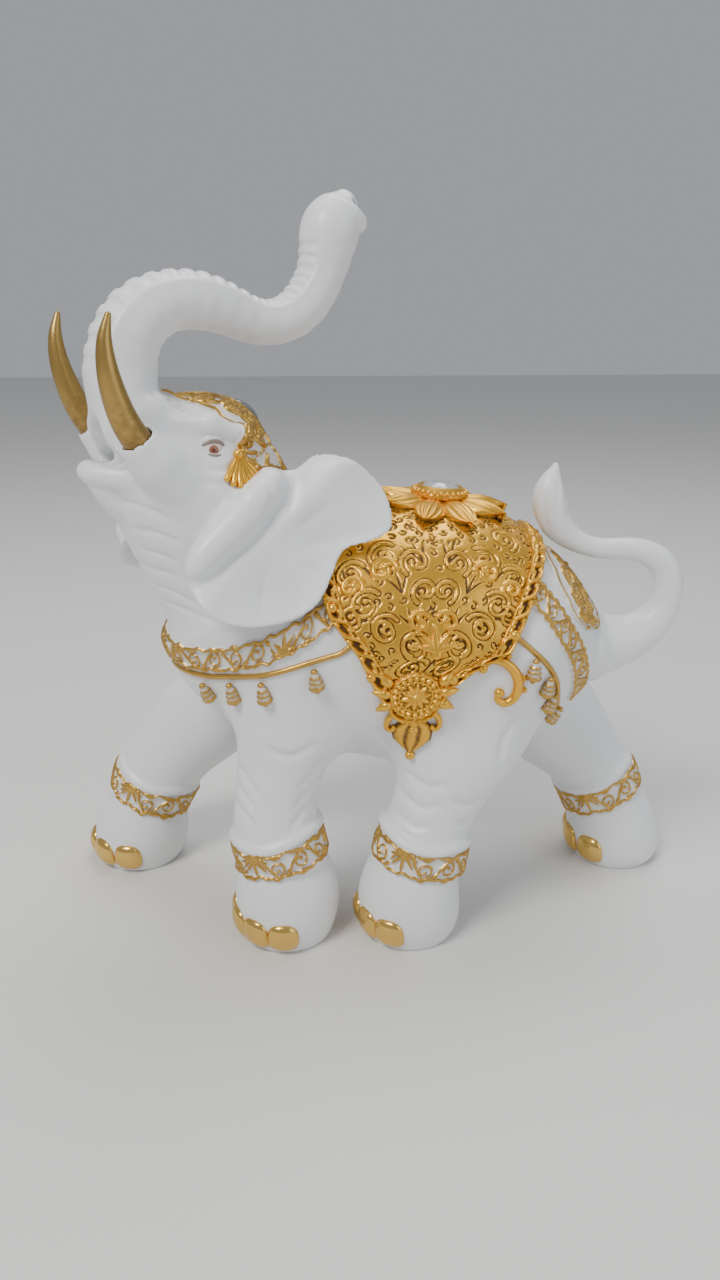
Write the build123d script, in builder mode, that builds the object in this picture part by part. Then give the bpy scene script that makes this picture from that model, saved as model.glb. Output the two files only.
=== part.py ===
"""Elephant figurine with raised trunk, saddle cloth and gilt ornament, as separate glued pieces.

The elephant walks towards -X, its left side is -Y and up is +Z.  It stands on z = 0 with the
origin below the middle of its outline.  All lengths are in millimetres.
"""
from build123d import *
from math import atan2, cos, degrees, radians, sin
import os

os.makedirs("parts", exist_ok=True)

# --- Where the body stands, and how the head is turned --------------------------------------
BODY_X = -7.9            # body datum from the middle of the outline, along the body
BODY_Y = -4.7            # body datum from the middle of the outline, across the body
HEAD_TURN = 28.0        # degrees, towards the elephant's left
NECK_X = -35.0          # the turning point of the neck, from the body datum

# --- Barrel of the body ---------------------------------------------------------------------
BARREL_HEIGHT = 90.0    # back to belly
BARREL_WIDTH = 84.0     # flank to flank
# Each section: x, z, height and width as a part of the barrel's, heading of its normal.
NECK_SEAT = (-33.5, 126.5, 0.84, 0.79, -57)
TORSO_SECTIONS = [
    NECK_SEAT,
    (-26, 115, 0.99, 0.91, -39),
    (-5.5, 108, 1.00, 1.00, -21),
    (23, 103.5, 1.03, 1.00, -11),
    (51.5, 101.5, 0.88, 0.88, -5),
    (71, 100.5, 0.56, 0.62, -3),
    (84, 98, 0.27, 0.31, 0),
]

# --- Legs: x, z, y outwards, half length, half width, heading of the section's normal -------
FOOT_RADIUS = 18.0
ANKLE_RADIUS = 15.0
SOLE_RADIUS = 15.5
FRONT_TRACK = 25.0      # middle of the body to the middle of the standing front foot
HIND_TRACK = 27.0
STRIDE_TRACK = 31.0     # middle of the body to the middle of the striding front foot
TRAIL_TRACK = 20.0      # middle of the body to the middle of the trailing hind foot
LEG_ROWS = {
    "front_left": [
        (-28, 0, FRONT_TRACK, SOLE_RADIUS, SOLE_RADIUS, 90),
        (-28, 8, FRONT_TRACK, FOOT_RADIUS, FOOT_RADIUS, 90),
        (-28, 19, FRONT_TRACK, FOOT_RADIUS, FOOT_RADIUS, 90),
        (-29, 30, FRONT_TRACK, ANKLE_RADIUS, ANKLE_RADIUS, 90),
        (-31, 41, FRONT_TRACK, ANKLE_RADIUS, ANKLE_RADIUS, 90),
        (-30, 58, FRONT_TRACK - 1, 14.4, 14.5, 88),
        (-26, 74, FRONT_TRACK - 2, 17.6, 15.5, 87),
        (-24, 95, FRONT_TRACK - 5, 19.0, 12.0, 84),
        (-22, 110, FRONT_TRACK - 8, 17.0, 9.0, 84),
    ],
    "front_right": [
        (-88, 0, STRIDE_TRACK, SOLE_RADIUS, SOLE_RADIUS, 90),
        (-88, 8, STRIDE_TRACK, FOOT_RADIUS + 0.5, FOOT_RADIUS, 88),
        (-86, 18, STRIDE_TRACK, FOOT_RADIUS - 0.5, FOOT_RADIUS, 78),
        (-83, 27, STRIDE_TRACK, ANKLE_RADIUS, ANKLE_RADIUS, 70),
        (-79, 37, STRIDE_TRACK - 1, ANKLE_RADIUS + 1, ANKLE_RADIUS, 66),
        (-71, 49, STRIDE_TRACK - 2, 17.0, 15.0, 54),
        (-60, 61, STRIDE_TRACK - 4, 19.0, 15.5, 46),
        (-43, 77, STRIDE_TRACK - 7, 15.0, 14.0, 44),
        (-27, 92, STRIDE_TRACK - 12, 13.0, 10.0, 44),
    ],
    "hind_left": [
        (16, 0, HIND_TRACK, SOLE_RADIUS, SOLE_RADIUS, 90),
        (16, 8, HIND_TRACK, FOOT_RADIUS, FOOT_RADIUS, 90),
        (16, 18, HIND_TRACK, FOOT_RADIUS - 0.5, FOOT_RADIUS, 88),
        (19, 28, HIND_TRACK, ANKLE_RADIUS + 0.5, ANKLE_RADIUS, 80),
        (21, 38, HIND_TRACK, ANKLE_RADIUS, ANKLE_RADIUS, 80),
        (25, 50, HIND_TRACK - 1, 15.0, 14.5, 76),
        (31, 67, HIND_TRACK - 2, 20.0, 16.0, 74),
        (38, 85, HIND_TRACK - 7, 21.0, 12.0, 76),
        (42, 101, HIND_TRACK - 12, 17.0, 9.0, 78),
    ],
    "hind_right": [
        (106, 0, TRAIL_TRACK - 1, SOLE_RADIUS, SOLE_RADIUS, 90),
        (106, 8, TRAIL_TRACK - 1, FOOT_RADIUS, FOOT_RADIUS, 92),
        (104, 17, TRAIL_TRACK, FOOT_RADIUS - 1, FOOT_RADIUS - 0.5, 104),
        (100, 27, TRAIL_TRACK, ANKLE_RADIUS, ANKLE_RADIUS, 112),
        (95, 38, TRAIL_TRACK, ANKLE_RADIUS + 0.3, ANKLE_RADIUS, 116),
        (87, 49, TRAIL_TRACK, 17.0, 15.0, 128),
        (77, 60, TRAIL_TRACK, 20.0, 15.0, 132),
        (64, 74, TRAIL_TRACK, 17.0, 13.5, 128),
        (54, 89, TRAIL_TRACK - 3, 14.0, 10.0, 124),
    ],
}
ANKLE_ROW = 3           # the row where each foot ends and its leg begins
LEG_PEG_RADIUS = 6.0
LEG_PEG_LENGTH = 46.0
PEG_CLEARANCE = 0.2     # all round a peg, and below its end

# --- Head, in the plane of the turned head: x backwards, z up -------------------------------
# Each section: x, z, half height, half width, heading of its normal.
TRUNK_SEAT = (-42, 182.5, 11.2, 12.5, 109)
HEAD_SECTIONS = [
    (-8.5, 136.5, 30.7, 29.0, 120),
    (-17.5, 149.5, 27.4, 27.0, 114),
    (-24.5, 163, 26.3, 25.0, 119),
    (-32.5, 173.5, 22.6, 19.5, 120),
    TRUNK_SEAT,
]
JAW_SECTIONS = [
    (-26, 157, 13.0, 17.0, 190),
    (-38, 155.5, 11.0, 13.0, 170),
    (-48, 160, 6.5, 8.5, 150),
    (-55, 165, 2.2, 3.5, 144),
]
HEAD_PEG_RADIUS = 8.0
HEAD_PEG_LENGTH = 14.0

# Trunk: x, z, radius along its centre line from the seat to the finger at its tip.
TRUNK_LINE = [
    (-43.8, 194, 10.5),
    (-41.5, 204, 10.0),
    (-35.5, 211.5, 9.3),
    (-26.5, 215.2, 8.4),
    (-16.8, 215.2, 8.0),
    (-7, 212.4, 7.2),
    (3, 209, 6.5),
    (13.5, 210.3, 6.7),
    (21.9, 217, 7.2),
    (26.7, 226, 7.6),
    (29.3, 236, 9.0),
    (33.5, 243.5, 6.6),
    (36.2, 247.5, 2.6),
]
TRUNK_PEG_RADIUS = 5.0
TRUNK_PEG_LENGTH = 9.0

# Tusk: x, z, y outwards, radius.
TUSK_LINE = [
    (-36, 166, 18.5, 4.4),
    (-41.5, 170.5, 19.5, 4.7),
    (-46, 175.5, 20.5, 4.5),
    (-50.3, 182, 21.5, 4.2),
    (-53.3, 189.5, 22.5, 3.7),
    (-55.2, 197.5, 23.5, 3.0),
    (-55.5, 205, 24, 2.1),
    (-54, 212, 24.5, 0.8),
]
EYE_RADIUS = 4.2
EYE_PROUD = 1.5         # how far the eyeball stands out of the face
EYE_X, EYE_Z = -24.0, 174.0

EAR_OUTLINE = [
    (-10, 166.7), (-1, 166), (7, 170.4), (15, 169), (23.5, 161), (26, 153.5), (24, 147.5),
    (17, 144.5), (9, 142), (2.5, 133), (-6, 124.7), (-16, 121.8), (-28, 123), (-36, 127.5),
    (-38.3, 136), (-33.5, 144), (-23, 151.2), (-14, 159.2),
]
EAR_OUT = 37.0          # middle plane of the head to the ear flap at its root
EAR_FLARE = 20.5        # degrees that the flap opens outwards towards the back
EAR_THICKNESS = 4.0
EAR_ROOT = (-23, 149, 13.0, 6.0, 38)    # x, z, half length, half height, slope of the root
EAR_PEG_RADIUS = 3.0
EAR_PEG_LENGTH = 7.0

# --- Tail: x, z, radius along its centre line -----------------------------------------------
TAIL_LINE = [
    (92, 98.6, 10.2),
    (99.8, 100.8, 8.2),
    (106.5, 106, 6.6),
    (110.3, 113.5, 5.5),
    (110.6, 120.5, 5.2),
    (108.4, 126.3, 4.9),
    (103, 130.8, 4.5),
    (96.5, 132.7, 4.1),
    (90, 133, 3.8),
    (83.6, 133.4, 3.6),
    (77, 135.6, 3.8),
    (71, 139.8, 4.7),
    (66.6, 146.3, 5.8),
    (65.2, 153.5, 5.4),
    (66.3, 160, 2.6),
    (67, 163.5, 0.7),
]
TAIL_PEG_RADIUS = 5.0
TAIL_PEG_LENGTH = 10.0

# --- Saddle cloth and harness ---------------------------------------------------------------
CLOTH_THICKNESS = 2.2
BORDER_THICKNESS = 3.6
BORDER_WIDTH = 5.0
BAND_THICKNESS = 2.2
STRAP_THICKNESS = 1.4
SIDE_REACH = 80.0       # further out than any flank
CLOTH_OUTLINE = [
    (-17, 160), (-16, 141), (-10.5, 122), (-1.5, 110.5), (4, 99), (10, 89.5), (14.5, 86.5),
    (19, 90), (23.5, 99), (32, 105), (43, 109.5), (50, 122), (58, 135), (63, 160),
]
COLLAR_LINE = [(-72, 105), (-57, 105), (-45, 107), (-33, 111.5), (-21, 117.5), (-8, 126)]
COLLAR_WIDTH = 9.0
BREAST_STRAP_LINE = [(-66, 97.5), (-50, 99.5), (-34, 103.5), (-20, 108), (-9, 111), (-4, 115)]
BREAST_STRAP_WIDTH = 2.0
RUMP_BAND_LINE = [(54, 127), (61, 118.5), (66, 111), (71, 102.5), (74, 93), (75, 84)]
RUMP_BAND_WIDTH = 7.0
RUMP_STRAP_LINE = [(45, 116), (52, 111), (58, 105), (62.5, 98), (64.5, 91), (66, 85)]
RUMP_STRAP_WIDTH = 2.0
BREAST_TASSELS = [(-52, 93.5), (-43, 95.5), (-33, 98), (-17, 103)]
RUMP_TASSELS = [(53, 103.5), (58.5, 96.5), (61, 89), (65, 81.5)]
TASSEL_HEIGHT = 8.0
TASSEL_RADIUS = 2.8

# --- Ornaments ------------------------------------------------------------------------------
ROSETTE_X = 27.0        # middle of the flower on the back
PETAL_COUNT = 10
PETAL_REACH = 13.0      # middle of the flower to the middle of a petal
PETAL_LENGTH = 15.0
PETAL_WIDTH = 11.0
PETAL_THICKNESS = 3.4
PETAL_STEP = 0.6        # how far the petals lie below the flower's hub
PETAL_DROOP = 16.0      # degrees that each petal dips outwards
BEZEL_RADIUS = 9.3
BEZEL_HEIGHT = 3.4
GEM_RADIUS = 7.4
GEM_DEPTH = 2.0         # depth of the gem's seat in its bezel
GEM_CROWN = 1.8
GEM_TAPER = 45.0
GEM_FACETS = 12
GEM_CLEARANCE = 0.1
MEDALLION_X, MEDALLION_Z = 14.5, 97.5
MEDALLION_RADIUS = 8.2
MEDALLION_PROUD = 2.4   # how far its face stands out of the cloth
MEDALLION_DOME = 1.6
MEDALLION_RIM = 2.0     # width of its raised rim
MEDALLION_RIM_HEIGHT = 1.0
PENDANT_LENGTH = 15.0
PENDANT_WIDTH = 13.0
PENDANT_THICKNESS = 3.2
SCROLL_X, SCROLL_Z = 41.5, 98.0
SCROLL_RADIUS = 6.3
SCROLL_WIDTH = 3.0
SCROLL_HEIGHT = 1.8     # above the skin at the scroll's middle
SCROLL_BALL = 2.2
SCROLL_START = 130.0    # degrees round the scroll's middle, from the back of the body
SCROLL_SWEEP = 200.0
FOREHEAD_X = -9.0       # middle of the forehead gem, in the head's plane
FOREHEAD_GEM_RADIUS = 5.6
FOREHEAD_GEM_HEIGHT = 2.6
HEAD_PLATE_THICKNESS = 1.8
HEAD_PLATE_OUTLINE = [
    (-31, 204), (-30, 187), (-24, 182.5), (-17, 178), (-12, 170), (-9, 164), (-3, 161), (6, 163),
    (14, 170), (10, 204),
]
TEMPLE_X, TEMPLE_Z = -13.0, 161.0
TEMPLE_RADIUS = 5.0
TEMPLE_THICKNESS = 2.0
CREST_OUTLINE = [(59, 165), (60, 137), (66, 129), (73, 120), (79, 115), (84, 120), (80, 165)]
CREST_THICKNESS = 3.2
NAIL_COUNT = 4
NAIL_RADIUS = 4.9
NAIL_HEIGHT = 1.8       # how far a nail stands out of the foot's skin
NAIL_MIDDLE = 8.0       # height of a nail's middle above the ground
NAIL_FLOOR = 2.0        # height of a nail's lower edge above the ground
NAIL_SPREAD = 36.0      # degrees between neighbouring nails
# First nail of each foot, degrees from the elephant's left towards its front.
NAIL_START = {"front_left": 8, "front_right": 14, "hind_left": 30, "hind_right": 46}
ANKLET_THICKNESS = 2.0
ANKLET_WIDTH = 10.5
ANKLET_DIP = 0.5        # how far an anklet reaches below the ankle


def side_plane(x, turn):
    """Middle plane of the body or head: local x backwards, y up, z to the elephant's left."""
    angle = radians(turn)
    return Plane(
        origin=(BODY_X + x, BODY_Y, 0),
        x_dir=(cos(angle), sin(angle), 0),
        z_dir=(sin(angle), -cos(angle), 0),
    )


BODY_SIDE = side_plane(0, 0)
HEAD_SIDE = side_plane(NECK_X, HEAD_TURN)


def section_plane(side, x, z, outwards, heading):
    """Plane of one cross-section, with its normal turned heading degrees up from backwards.

    Its local x runs up the section in the side view and its local y across the body.
    """
    angle = radians(heading)
    return Plane(
        origin=side.from_local_coords((x, z, outwards)),
        x_dir=side.y_dir * cos(angle) - side.x_dir * sin(angle),
        z_dir=side.x_dir * cos(angle) + side.y_dir * sin(angle),
    )


def oval(plane, half_height, half_width):
    """One oval cross-section on its plane."""
    with BuildSketch(plane) as section:
        Ellipse(half_height, half_width)
    return section.sketch


def line_headings(line):
    """Heading of a centre line at each of its points, from the points either side."""
    headings = []
    for index in range(len(line)):
        before = line[max(index - 1, 0)]
        after = line[min(index + 1, len(line) - 1)]
        headings.append(degrees(atan2(after[1] - before[1], after[0] - before[0])))
    return headings


def torso_loft(extra):
    """The barrel, made larger all round by extra."""
    sections = []
    for x, z, height, width, heading in TORSO_SECTIONS:
        plane = section_plane(BODY_SIDE, x, z, 0, heading)
        half_height = height * BARREL_HEIGHT / 2 + extra
        sections.append(oval(plane, half_height, width * BARREL_WIDTH / 2 + extra))
    loft(sections)


def neck_loft(extra):
    """The neck and skull, from the neck seat to the trunk seat, larger all round by extra."""
    x, z, height, width, heading = NECK_SEAT
    seat = section_plane(BODY_SIDE, x, z, 0, heading + 180)
    half_height = height * BARREL_HEIGHT / 2 + extra
    sections = [oval(seat, half_height, width * BARREL_WIDTH / 2 + extra)]
    for x, z, half_height, half_width, heading in HEAD_SECTIONS:
        plane = section_plane(HEAD_SIDE, x, z, 0, heading)
        sections.append(oval(plane, half_height + extra, half_width + extra))
    loft(sections)


def jaw_loft():
    """The lower jaw, from inside the skull to the lip."""
    sections = []
    for x, z, half_height, half_width, heading in JAW_SECTIONS:
        plane = section_plane(HEAD_SIDE, x, z, 0, heading)
        sections.append(oval(plane, half_height, half_width))
    loft(sections)


def leg_loft(rows, side, extra):
    """One leg with its foot.  side is 1 for a left leg and -1 for a right leg."""
    sections = []
    for x, z, outwards, half_length, half_width, heading in rows:
        plane = section_plane(BODY_SIDE, x, z, side * outwards, heading)
        sections.append(oval(plane, half_length + extra, half_width + extra))
    loft(sections[: ANKLE_ROW + 1])
    loft(sections[ANKLE_ROW:])


def round_loft(side, line, first):
    """A round tapering limb along a centre line, from an oval first section."""
    x, z, half_height, half_width, heading = first
    sections = [oval(section_plane(side, x, z, 0, heading), half_height, half_width)]
    for (x, z, radius), heading in zip(line, line_headings(line)):
        sections.append(oval(section_plane(side, x, z, 0, heading), radius, radius))
    loft(sections)


def peg(plane, radius, length, mode=Mode.ADD):
    """A round peg, or the hole for one, out of a plane along its normal."""
    extrude(oval(plane, radius, radius), amount=length, mode=mode)


def hole_for_peg(plane, radius, length):
    """The blind hole that takes a peg, with its clearance."""
    peg(plane, radius + PEG_CLEARANCE, length + PEG_CLEARANCE, Mode.SUBTRACT)


def band(line, width, mode=Mode.INTERSECT, closed=False):
    """A wall of even width along a line in the body's side view, out past both flanks."""
    with BuildSketch(BODY_SIDE.offset(-SIDE_REACH)) as strip:
        with BuildLine():
            Spline(*line, periodic=closed)
        trace(line_width=width)
    extrude(strip.sketch, amount=2 * SIDE_REACH, mode=mode)


def wall(side, outline, rounded=False):
    """Keep only what lies inside an outline in the side view, out past both flanks."""
    with BuildSketch(side.offset(-SIDE_REACH)) as shape:
        with BuildLine():
            if rounded:
                Spline(*outline, periodic=True)
            else:
                Polyline(*outline, close=True)
        make_face()
    extrude(shape.sketch, amount=2 * SIDE_REACH, mode=Mode.INTERSECT)


def take_away(*pieces):
    """Cut finished pieces out of the one being made, so that the two only touch."""
    for piece in pieces:
        add(piece.part, mode=Mode.SUBTRACT)


def skin_plane(forms, side, x, z, hand):
    """Tangent plane on the outermost form's flank, normal outwards.  hand is 1 for left."""
    outside = side.from_local_coords((x, z, hand * SIDE_REACH))
    inwards = side.z_dir * -hand
    hits = []
    for form in forms:
        hits += form.part.find_intersection_points(Axis(outside, inwards))
    point, normal = min(hits, key=lambda hit: (hit[0] - outside).length)
    if normal.dot(inwards) > 0:
        normal = normal * -1
    return Plane(origin=point, x_dir=side.x_dir, z_dir=normal)


def top_plane(form, side, x):
    """Tangent plane on the top of a form's middle line, normal upwards."""
    above = side.from_local_coords((x, 2 * SIDE_REACH + BARREL_HEIGHT, 0))
    point, normal = form.part.find_intersection_points(Axis(above, (0, 0, -1)))[0]
    if normal.Z < 0:
        normal = normal * -1
    return Plane(origin=point, x_dir=side.x_dir, z_dir=normal)


def dome(plane, height, radius):
    """A ball sunk behind a plane so that a cap of this height and radius stands out of it."""
    ball = (radius**2 + height**2) / (2 * height)
    with Locations(plane.offset(height - ball)):
        Sphere(ball)


def write(piece, name):
    """Label one finished piece and write it to its own file."""
    piece.part.label = name
    export_step(piece.part, f"parts/{name}.step")


# --- Plain forms that the pieces are cut from and to ----------------------------------------
with BuildPart() as barrel:
    torso_loft(0)

with BuildPart() as skull:
    neck_loft(0)

leg_names = list(LEG_ROWS)
hand_of = {name: 1 if name.endswith("left") else -1 for name in leg_names}

leg_forms = {}
for name in leg_names:
    with BuildPart() as leg_form:
        leg_loft(LEG_ROWS[name], hand_of[name], 0)
    leg_forms[name] = leg_form
fore_casting = (barrel, leg_forms["front_left"], leg_forms["front_right"])
hind_casting = (barrel, leg_forms["hind_left"], leg_forms["hind_right"])


def leg_peg_plane(name):
    """Where a leg's peg starts, inside the thigh, pointing up into the barrel."""
    x, z, outwards, _, _, heading = LEG_ROWS[name][-1]
    top = section_plane(BODY_SIDE, x, z, hand_of[name] * outwards, heading)
    return top.offset(-LEG_PEG_LENGTH)


# --- Torso, with a socket for each leg, the head and the tail -------------------------------
neck_x, neck_z, _, _, neck_heading = NECK_SEAT
head_peg_plane = section_plane(BODY_SIDE, neck_x, neck_z, 0, neck_heading)
tail_x, tail_z, _, _, tail_heading = TORSO_SECTIONS[-1]
tail_peg_plane = section_plane(BODY_SIDE, tail_x, tail_z, 0, tail_heading + 180)

with BuildPart() as torso:
    torso_loft(0)
    for name in leg_names:
        hole_for_peg(leg_peg_plane(name), LEG_PEG_RADIUS, LEG_PEG_LENGTH)
    hole_for_peg(head_peg_plane, HEAD_PEG_RADIUS, HEAD_PEG_LENGTH)
    hole_for_peg(tail_peg_plane, TAIL_PEG_RADIUS, TAIL_PEG_LENGTH)
write(torso, "torso")

# --- Legs, each cut to the barrel and pegged into it ----------------------------------------
for name in leg_names:
    with BuildPart() as leg:
        leg_loft(LEG_ROWS[name], hand_of[name], 0)
        take_away(barrel)
        peg(leg_peg_plane(name), LEG_PEG_RADIUS, LEG_PEG_LENGTH)
    write(leg, f"leg_{name}")

# --- Head with the lower jaw, and the sockets of what is set into it ------------------------
trunk_x, trunk_z, _, _, trunk_heading = TRUNK_SEAT
trunk_peg_plane = section_plane(HEAD_SIDE, trunk_x, trunk_z, 0, trunk_heading + 180)
root_x, root_z, root_length, root_height, root_slope = EAR_ROOT


def eye_plane(hand):
    """Tangent plane of the face at an eye."""
    return skin_plane([skull], HEAD_SIDE, EYE_X, EYE_Z, hand)


def eyeball(hand, extra, mode=Mode.ADD):
    """One eyeball, standing out of the face by EYE_PROUD."""
    with Locations(eye_plane(hand).offset(EYE_PROUD - EYE_RADIUS)):
        Sphere(EYE_RADIUS + extra, mode=mode)


def tusk_loft(hand, extra):
    """One tusk, larger all round by extra."""
    sections = []
    for (x, z, outwards, radius), heading in zip(TUSK_LINE, line_headings(TUSK_LINE)):
        plane = section_plane(HEAD_SIDE, x, z, hand * outwards, heading)
        sections.append(oval(plane, radius + extra, radius + extra))
    loft(sections)


tusk_forms = {}
for hand in (1, -1):
    with BuildPart() as tusk_form:
        tusk_loft(hand, PEG_CLEARANCE)
    tusk_forms[hand] = tusk_form

with BuildPart() as head:
    neck_loft(0)
    jaw_loft()
    take_away(*tusk_forms.values())
    peg(head_peg_plane, HEAD_PEG_RADIUS, HEAD_PEG_LENGTH)
    hole_for_peg(trunk_peg_plane, TRUNK_PEG_RADIUS, TRUNK_PEG_LENGTH)
    for hand in (1, -1):
        eyeball(hand, 0, Mode.SUBTRACT)
        root = section_plane(HEAD_SIDE, root_x, root_z, hand * EAR_OUT, 0)
        ear_peg = Plane(origin=root.origin, x_dir=HEAD_SIDE.x_dir, z_dir=HEAD_SIDE.z_dir * -hand)
        hole_for_peg(ear_peg, EAR_PEG_RADIUS, EAR_OUT / 2 + EAR_PEG_LENGTH)
write(head, "head")

# --- Trunk ----------------------------------------------------------------------------------
with BuildPart() as trunk:
    round_loft(HEAD_SIDE, TRUNK_LINE, TRUNK_SEAT)
    peg(trunk_peg_plane, TRUNK_PEG_RADIUS, TRUNK_PEG_LENGTH)
write(trunk, "trunk")

# --- Tail -----------------------------------------------------------------------------------
tail_seat = (
    tail_x, tail_z, TORSO_SECTIONS[-1][2] * BARREL_HEIGHT / 2,
    TORSO_SECTIONS[-1][3] * BARREL_WIDTH / 2, tail_heading,
)
with BuildPart() as tail:
    round_loft(BODY_SIDE, TAIL_LINE, tail_seat)
    peg(tail_peg_plane, TAIL_PEG_RADIUS, TAIL_PEG_LENGTH)
write(tail, "tail")

# --- Ears, tusks and eyes, one of each on either side ---------------------------------------
for side_name, hand in (("left", 1), ("right", -1)):
    root = section_plane(HEAD_SIDE, root_x, root_z, hand * EAR_OUT, 0)
    inwards = Plane(origin=root.origin, x_dir=HEAD_SIDE.x_dir, z_dir=HEAD_SIDE.z_dir * -hand)
    flare = radians(EAR_FLARE * hand)
    flap_plane = Plane(
        origin=HEAD_SIDE.from_local_coords((root_x, 0, hand * EAR_OUT)),
        x_dir=HEAD_SIDE.x_dir * cos(flare) + HEAD_SIDE.z_dir * sin(flare),
        z_dir=HEAD_SIDE.z_dir * cos(flare) - HEAD_SIDE.x_dir * sin(flare),
    )
    with BuildSketch(flap_plane.offset(-EAR_THICKNESS / 2)) as flap:
        with BuildLine():
            Spline(*[(x - root_x, z) for x, z in EAR_OUTLINE], periodic=True)
        make_face()
    with BuildSketch(HEAD_SIDE.offset(hand * EAR_OUT)) as root_shape:
        with Locations(Location((root_x, root_z), -root_slope)):
            Ellipse(root_length, root_height)
    with BuildPart() as ear:
        extrude(flap.sketch, amount=EAR_THICKNESS)
        extrude(root_shape.sketch, amount=-hand * EAR_OUT / 2)
        take_away(skull)
        peg(inwards, EAR_PEG_RADIUS, EAR_OUT / 2 + EAR_PEG_LENGTH)
    write(ear, f"ear_{side_name}")

    with BuildPart() as tusk:
        tusk_loft(hand, 0)
    write(tusk, f"tusk_{side_name}")

    with BuildPart() as eye:
        eyeball(hand, 0)
    write(eye, f"eye_{side_name}")

# --- Toenails and anklets, one set for each foot --------------------------------------------
for name in leg_names:
    hand = hand_of[name]
    rows = LEG_ROWS[name]
    foot_x, _, foot_out, foot_radius, _, _ = rows[1]
    with BuildPart() as toenails:
        for index in range(NAIL_COUNT):
            turn = radians(NAIL_START[name] + index * NAIL_SPREAD)
            outwards = BODY_SIDE.z_dir * cos(turn) - BODY_SIDE.x_dir * sin(turn)
            centre = BODY_SIDE.from_local_coords((foot_x, NAIL_MIDDLE, hand * foot_out))
            spot = centre + outwards * foot_radius
            dome(Plane(origin=spot, x_dir=(0, 0, 1), z_dir=outwards), NAIL_HEIGHT, NAIL_RADIUS)
        extrude(oval(Plane.XY.offset(NAIL_FLOOR), 2 * SIDE_REACH, 2 * SIDE_REACH), amount=FOOT_RADIUS,
                mode=Mode.INTERSECT)
        take_away(leg_forms[name])
    write(toenails, f"toenails_{name}")

    x, z, out, _, _, heading = rows[ANKLE_ROW]
    lower = section_plane(BODY_SIDE, x, z, hand * out, heading).offset(-ANKLET_DIP)
    with BuildPart() as anklet:
        leg_loft(rows, hand, ANKLET_THICKNESS)
        extrude(oval(lower, SIDE_REACH, SIDE_REACH), amount=ANKLET_WIDTH, mode=Mode.INTERSECT)
        take_away(leg_forms[name])
    write(anklet, f"anklet_{name}")

# --- Saddle cloth and its raised border -----------------------------------------------------
with BuildPart() as cloth_form:
    torso_loft(CLOTH_THICKNESS)

with BuildPart() as saddle_cloth:
    torso_loft(CLOTH_THICKNESS)
    wall(BODY_SIDE, CLOTH_OUTLINE, rounded=True)
    band(CLOTH_OUTLINE, BORDER_WIDTH, Mode.SUBTRACT, closed=True)
    take_away(barrel)
write(saddle_cloth, "saddle_cloth")

with BuildPart() as saddle_border:
    torso_loft(BORDER_THICKNESS)
    band(CLOTH_OUTLINE, BORDER_WIDTH, closed=True)
    take_away(barrel)
write(saddle_border, "saddle_border")

# --- Collar, straps and bands ---------------------------------------------------------------
with BuildPart() as breast_collar:
    torso_loft(BAND_THICKNESS)
    band(COLLAR_LINE, COLLAR_WIDTH)
    take_away(barrel, saddle_border, saddle_cloth)
write(breast_collar, "breast_collar")

with BuildPart() as breast_strap:
    torso_loft(STRAP_THICKNESS)
    band(BREAST_STRAP_LINE, BREAST_STRAP_WIDTH)
    take_away(*fore_casting, breast_collar, saddle_border, saddle_cloth)
write(breast_strap, "breast_strap")

with BuildPart() as rump_band:
    torso_loft(BAND_THICKNESS)
    band(RUMP_BAND_LINE, RUMP_BAND_WIDTH)
    take_away(*hind_casting, saddle_border, saddle_cloth)
write(rump_band, "rump_band")

with BuildPart() as rump_strap:
    torso_loft(STRAP_THICKNESS)
    band(RUMP_STRAP_LINE, RUMP_STRAP_WIDTH)
    take_away(*hind_casting, saddle_border, saddle_cloth, rump_band)
write(rump_strap, "rump_strap")

# --- Medallion, pendant and scroll on each flank --------------------------------------------
for side_name, hand in (("left", 1), ("right", -1)):
    disc_plane = skin_plane([cloth_form], BODY_SIDE, MEDALLION_X, MEDALLION_Z, hand)
    disc = oval(disc_plane.offset(-MEDALLION_PROUD), MEDALLION_RADIUS, MEDALLION_RADIUS)
    with BuildSketch(disc_plane.offset(MEDALLION_PROUD)) as rim:
        Circle(MEDALLION_RADIUS)
        Circle(MEDALLION_RADIUS - MEDALLION_RIM, mode=Mode.SUBTRACT)
    with BuildPart() as medallion:
        extrude(disc, amount=2 * MEDALLION_PROUD)
        dome(disc_plane.offset(MEDALLION_PROUD), MEDALLION_DOME, MEDALLION_RADIUS / 2)
        extrude(rim.sketch, amount=MEDALLION_RIM_HEIGHT)
        take_away(barrel, saddle_cloth, saddle_border)
    write(medallion, f"medallion_{side_name}")

    leaf_z = MEDALLION_Z - MEDALLION_RADIUS - PENDANT_LENGTH / 2
    leaf_plane = skin_plane(hind_casting, BODY_SIDE, MEDALLION_X, leaf_z, hand)
    with BuildSketch(leaf_plane.offset(-PENDANT_THICKNESS)) as leaf:
        Ellipse(PENDANT_WIDTH / 2, PENDANT_LENGTH / 2)
    with BuildPart() as pendant:
        extrude(leaf.sketch, amount=2 * PENDANT_THICKNESS)
        take_away(*hind_casting, saddle_cloth, saddle_border, medallion)
    write(pendant, f"pendant_{side_name}")

    curl_plane = skin_plane(hind_casting, BODY_SIDE, SCROLL_X, SCROLL_Z, hand)
    with BuildSketch(curl_plane) as curl:
        with BuildLine():
            arc = CenterArc((0, 0), SCROLL_RADIUS, SCROLL_START, -SCROLL_SWEEP)
        trace(line_width=SCROLL_WIDTH)
        with Locations(arc @ 0, arc @ 1):
            Circle(SCROLL_BALL)
    with BuildPart() as scroll:
        extrude(curl.sketch, amount=SCROLL_HEIGHT, both=True)
        take_away(*hind_casting, saddle_cloth, saddle_border, rump_strap, rump_band)
    write(scroll, f"side_scroll_{side_name}")


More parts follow.
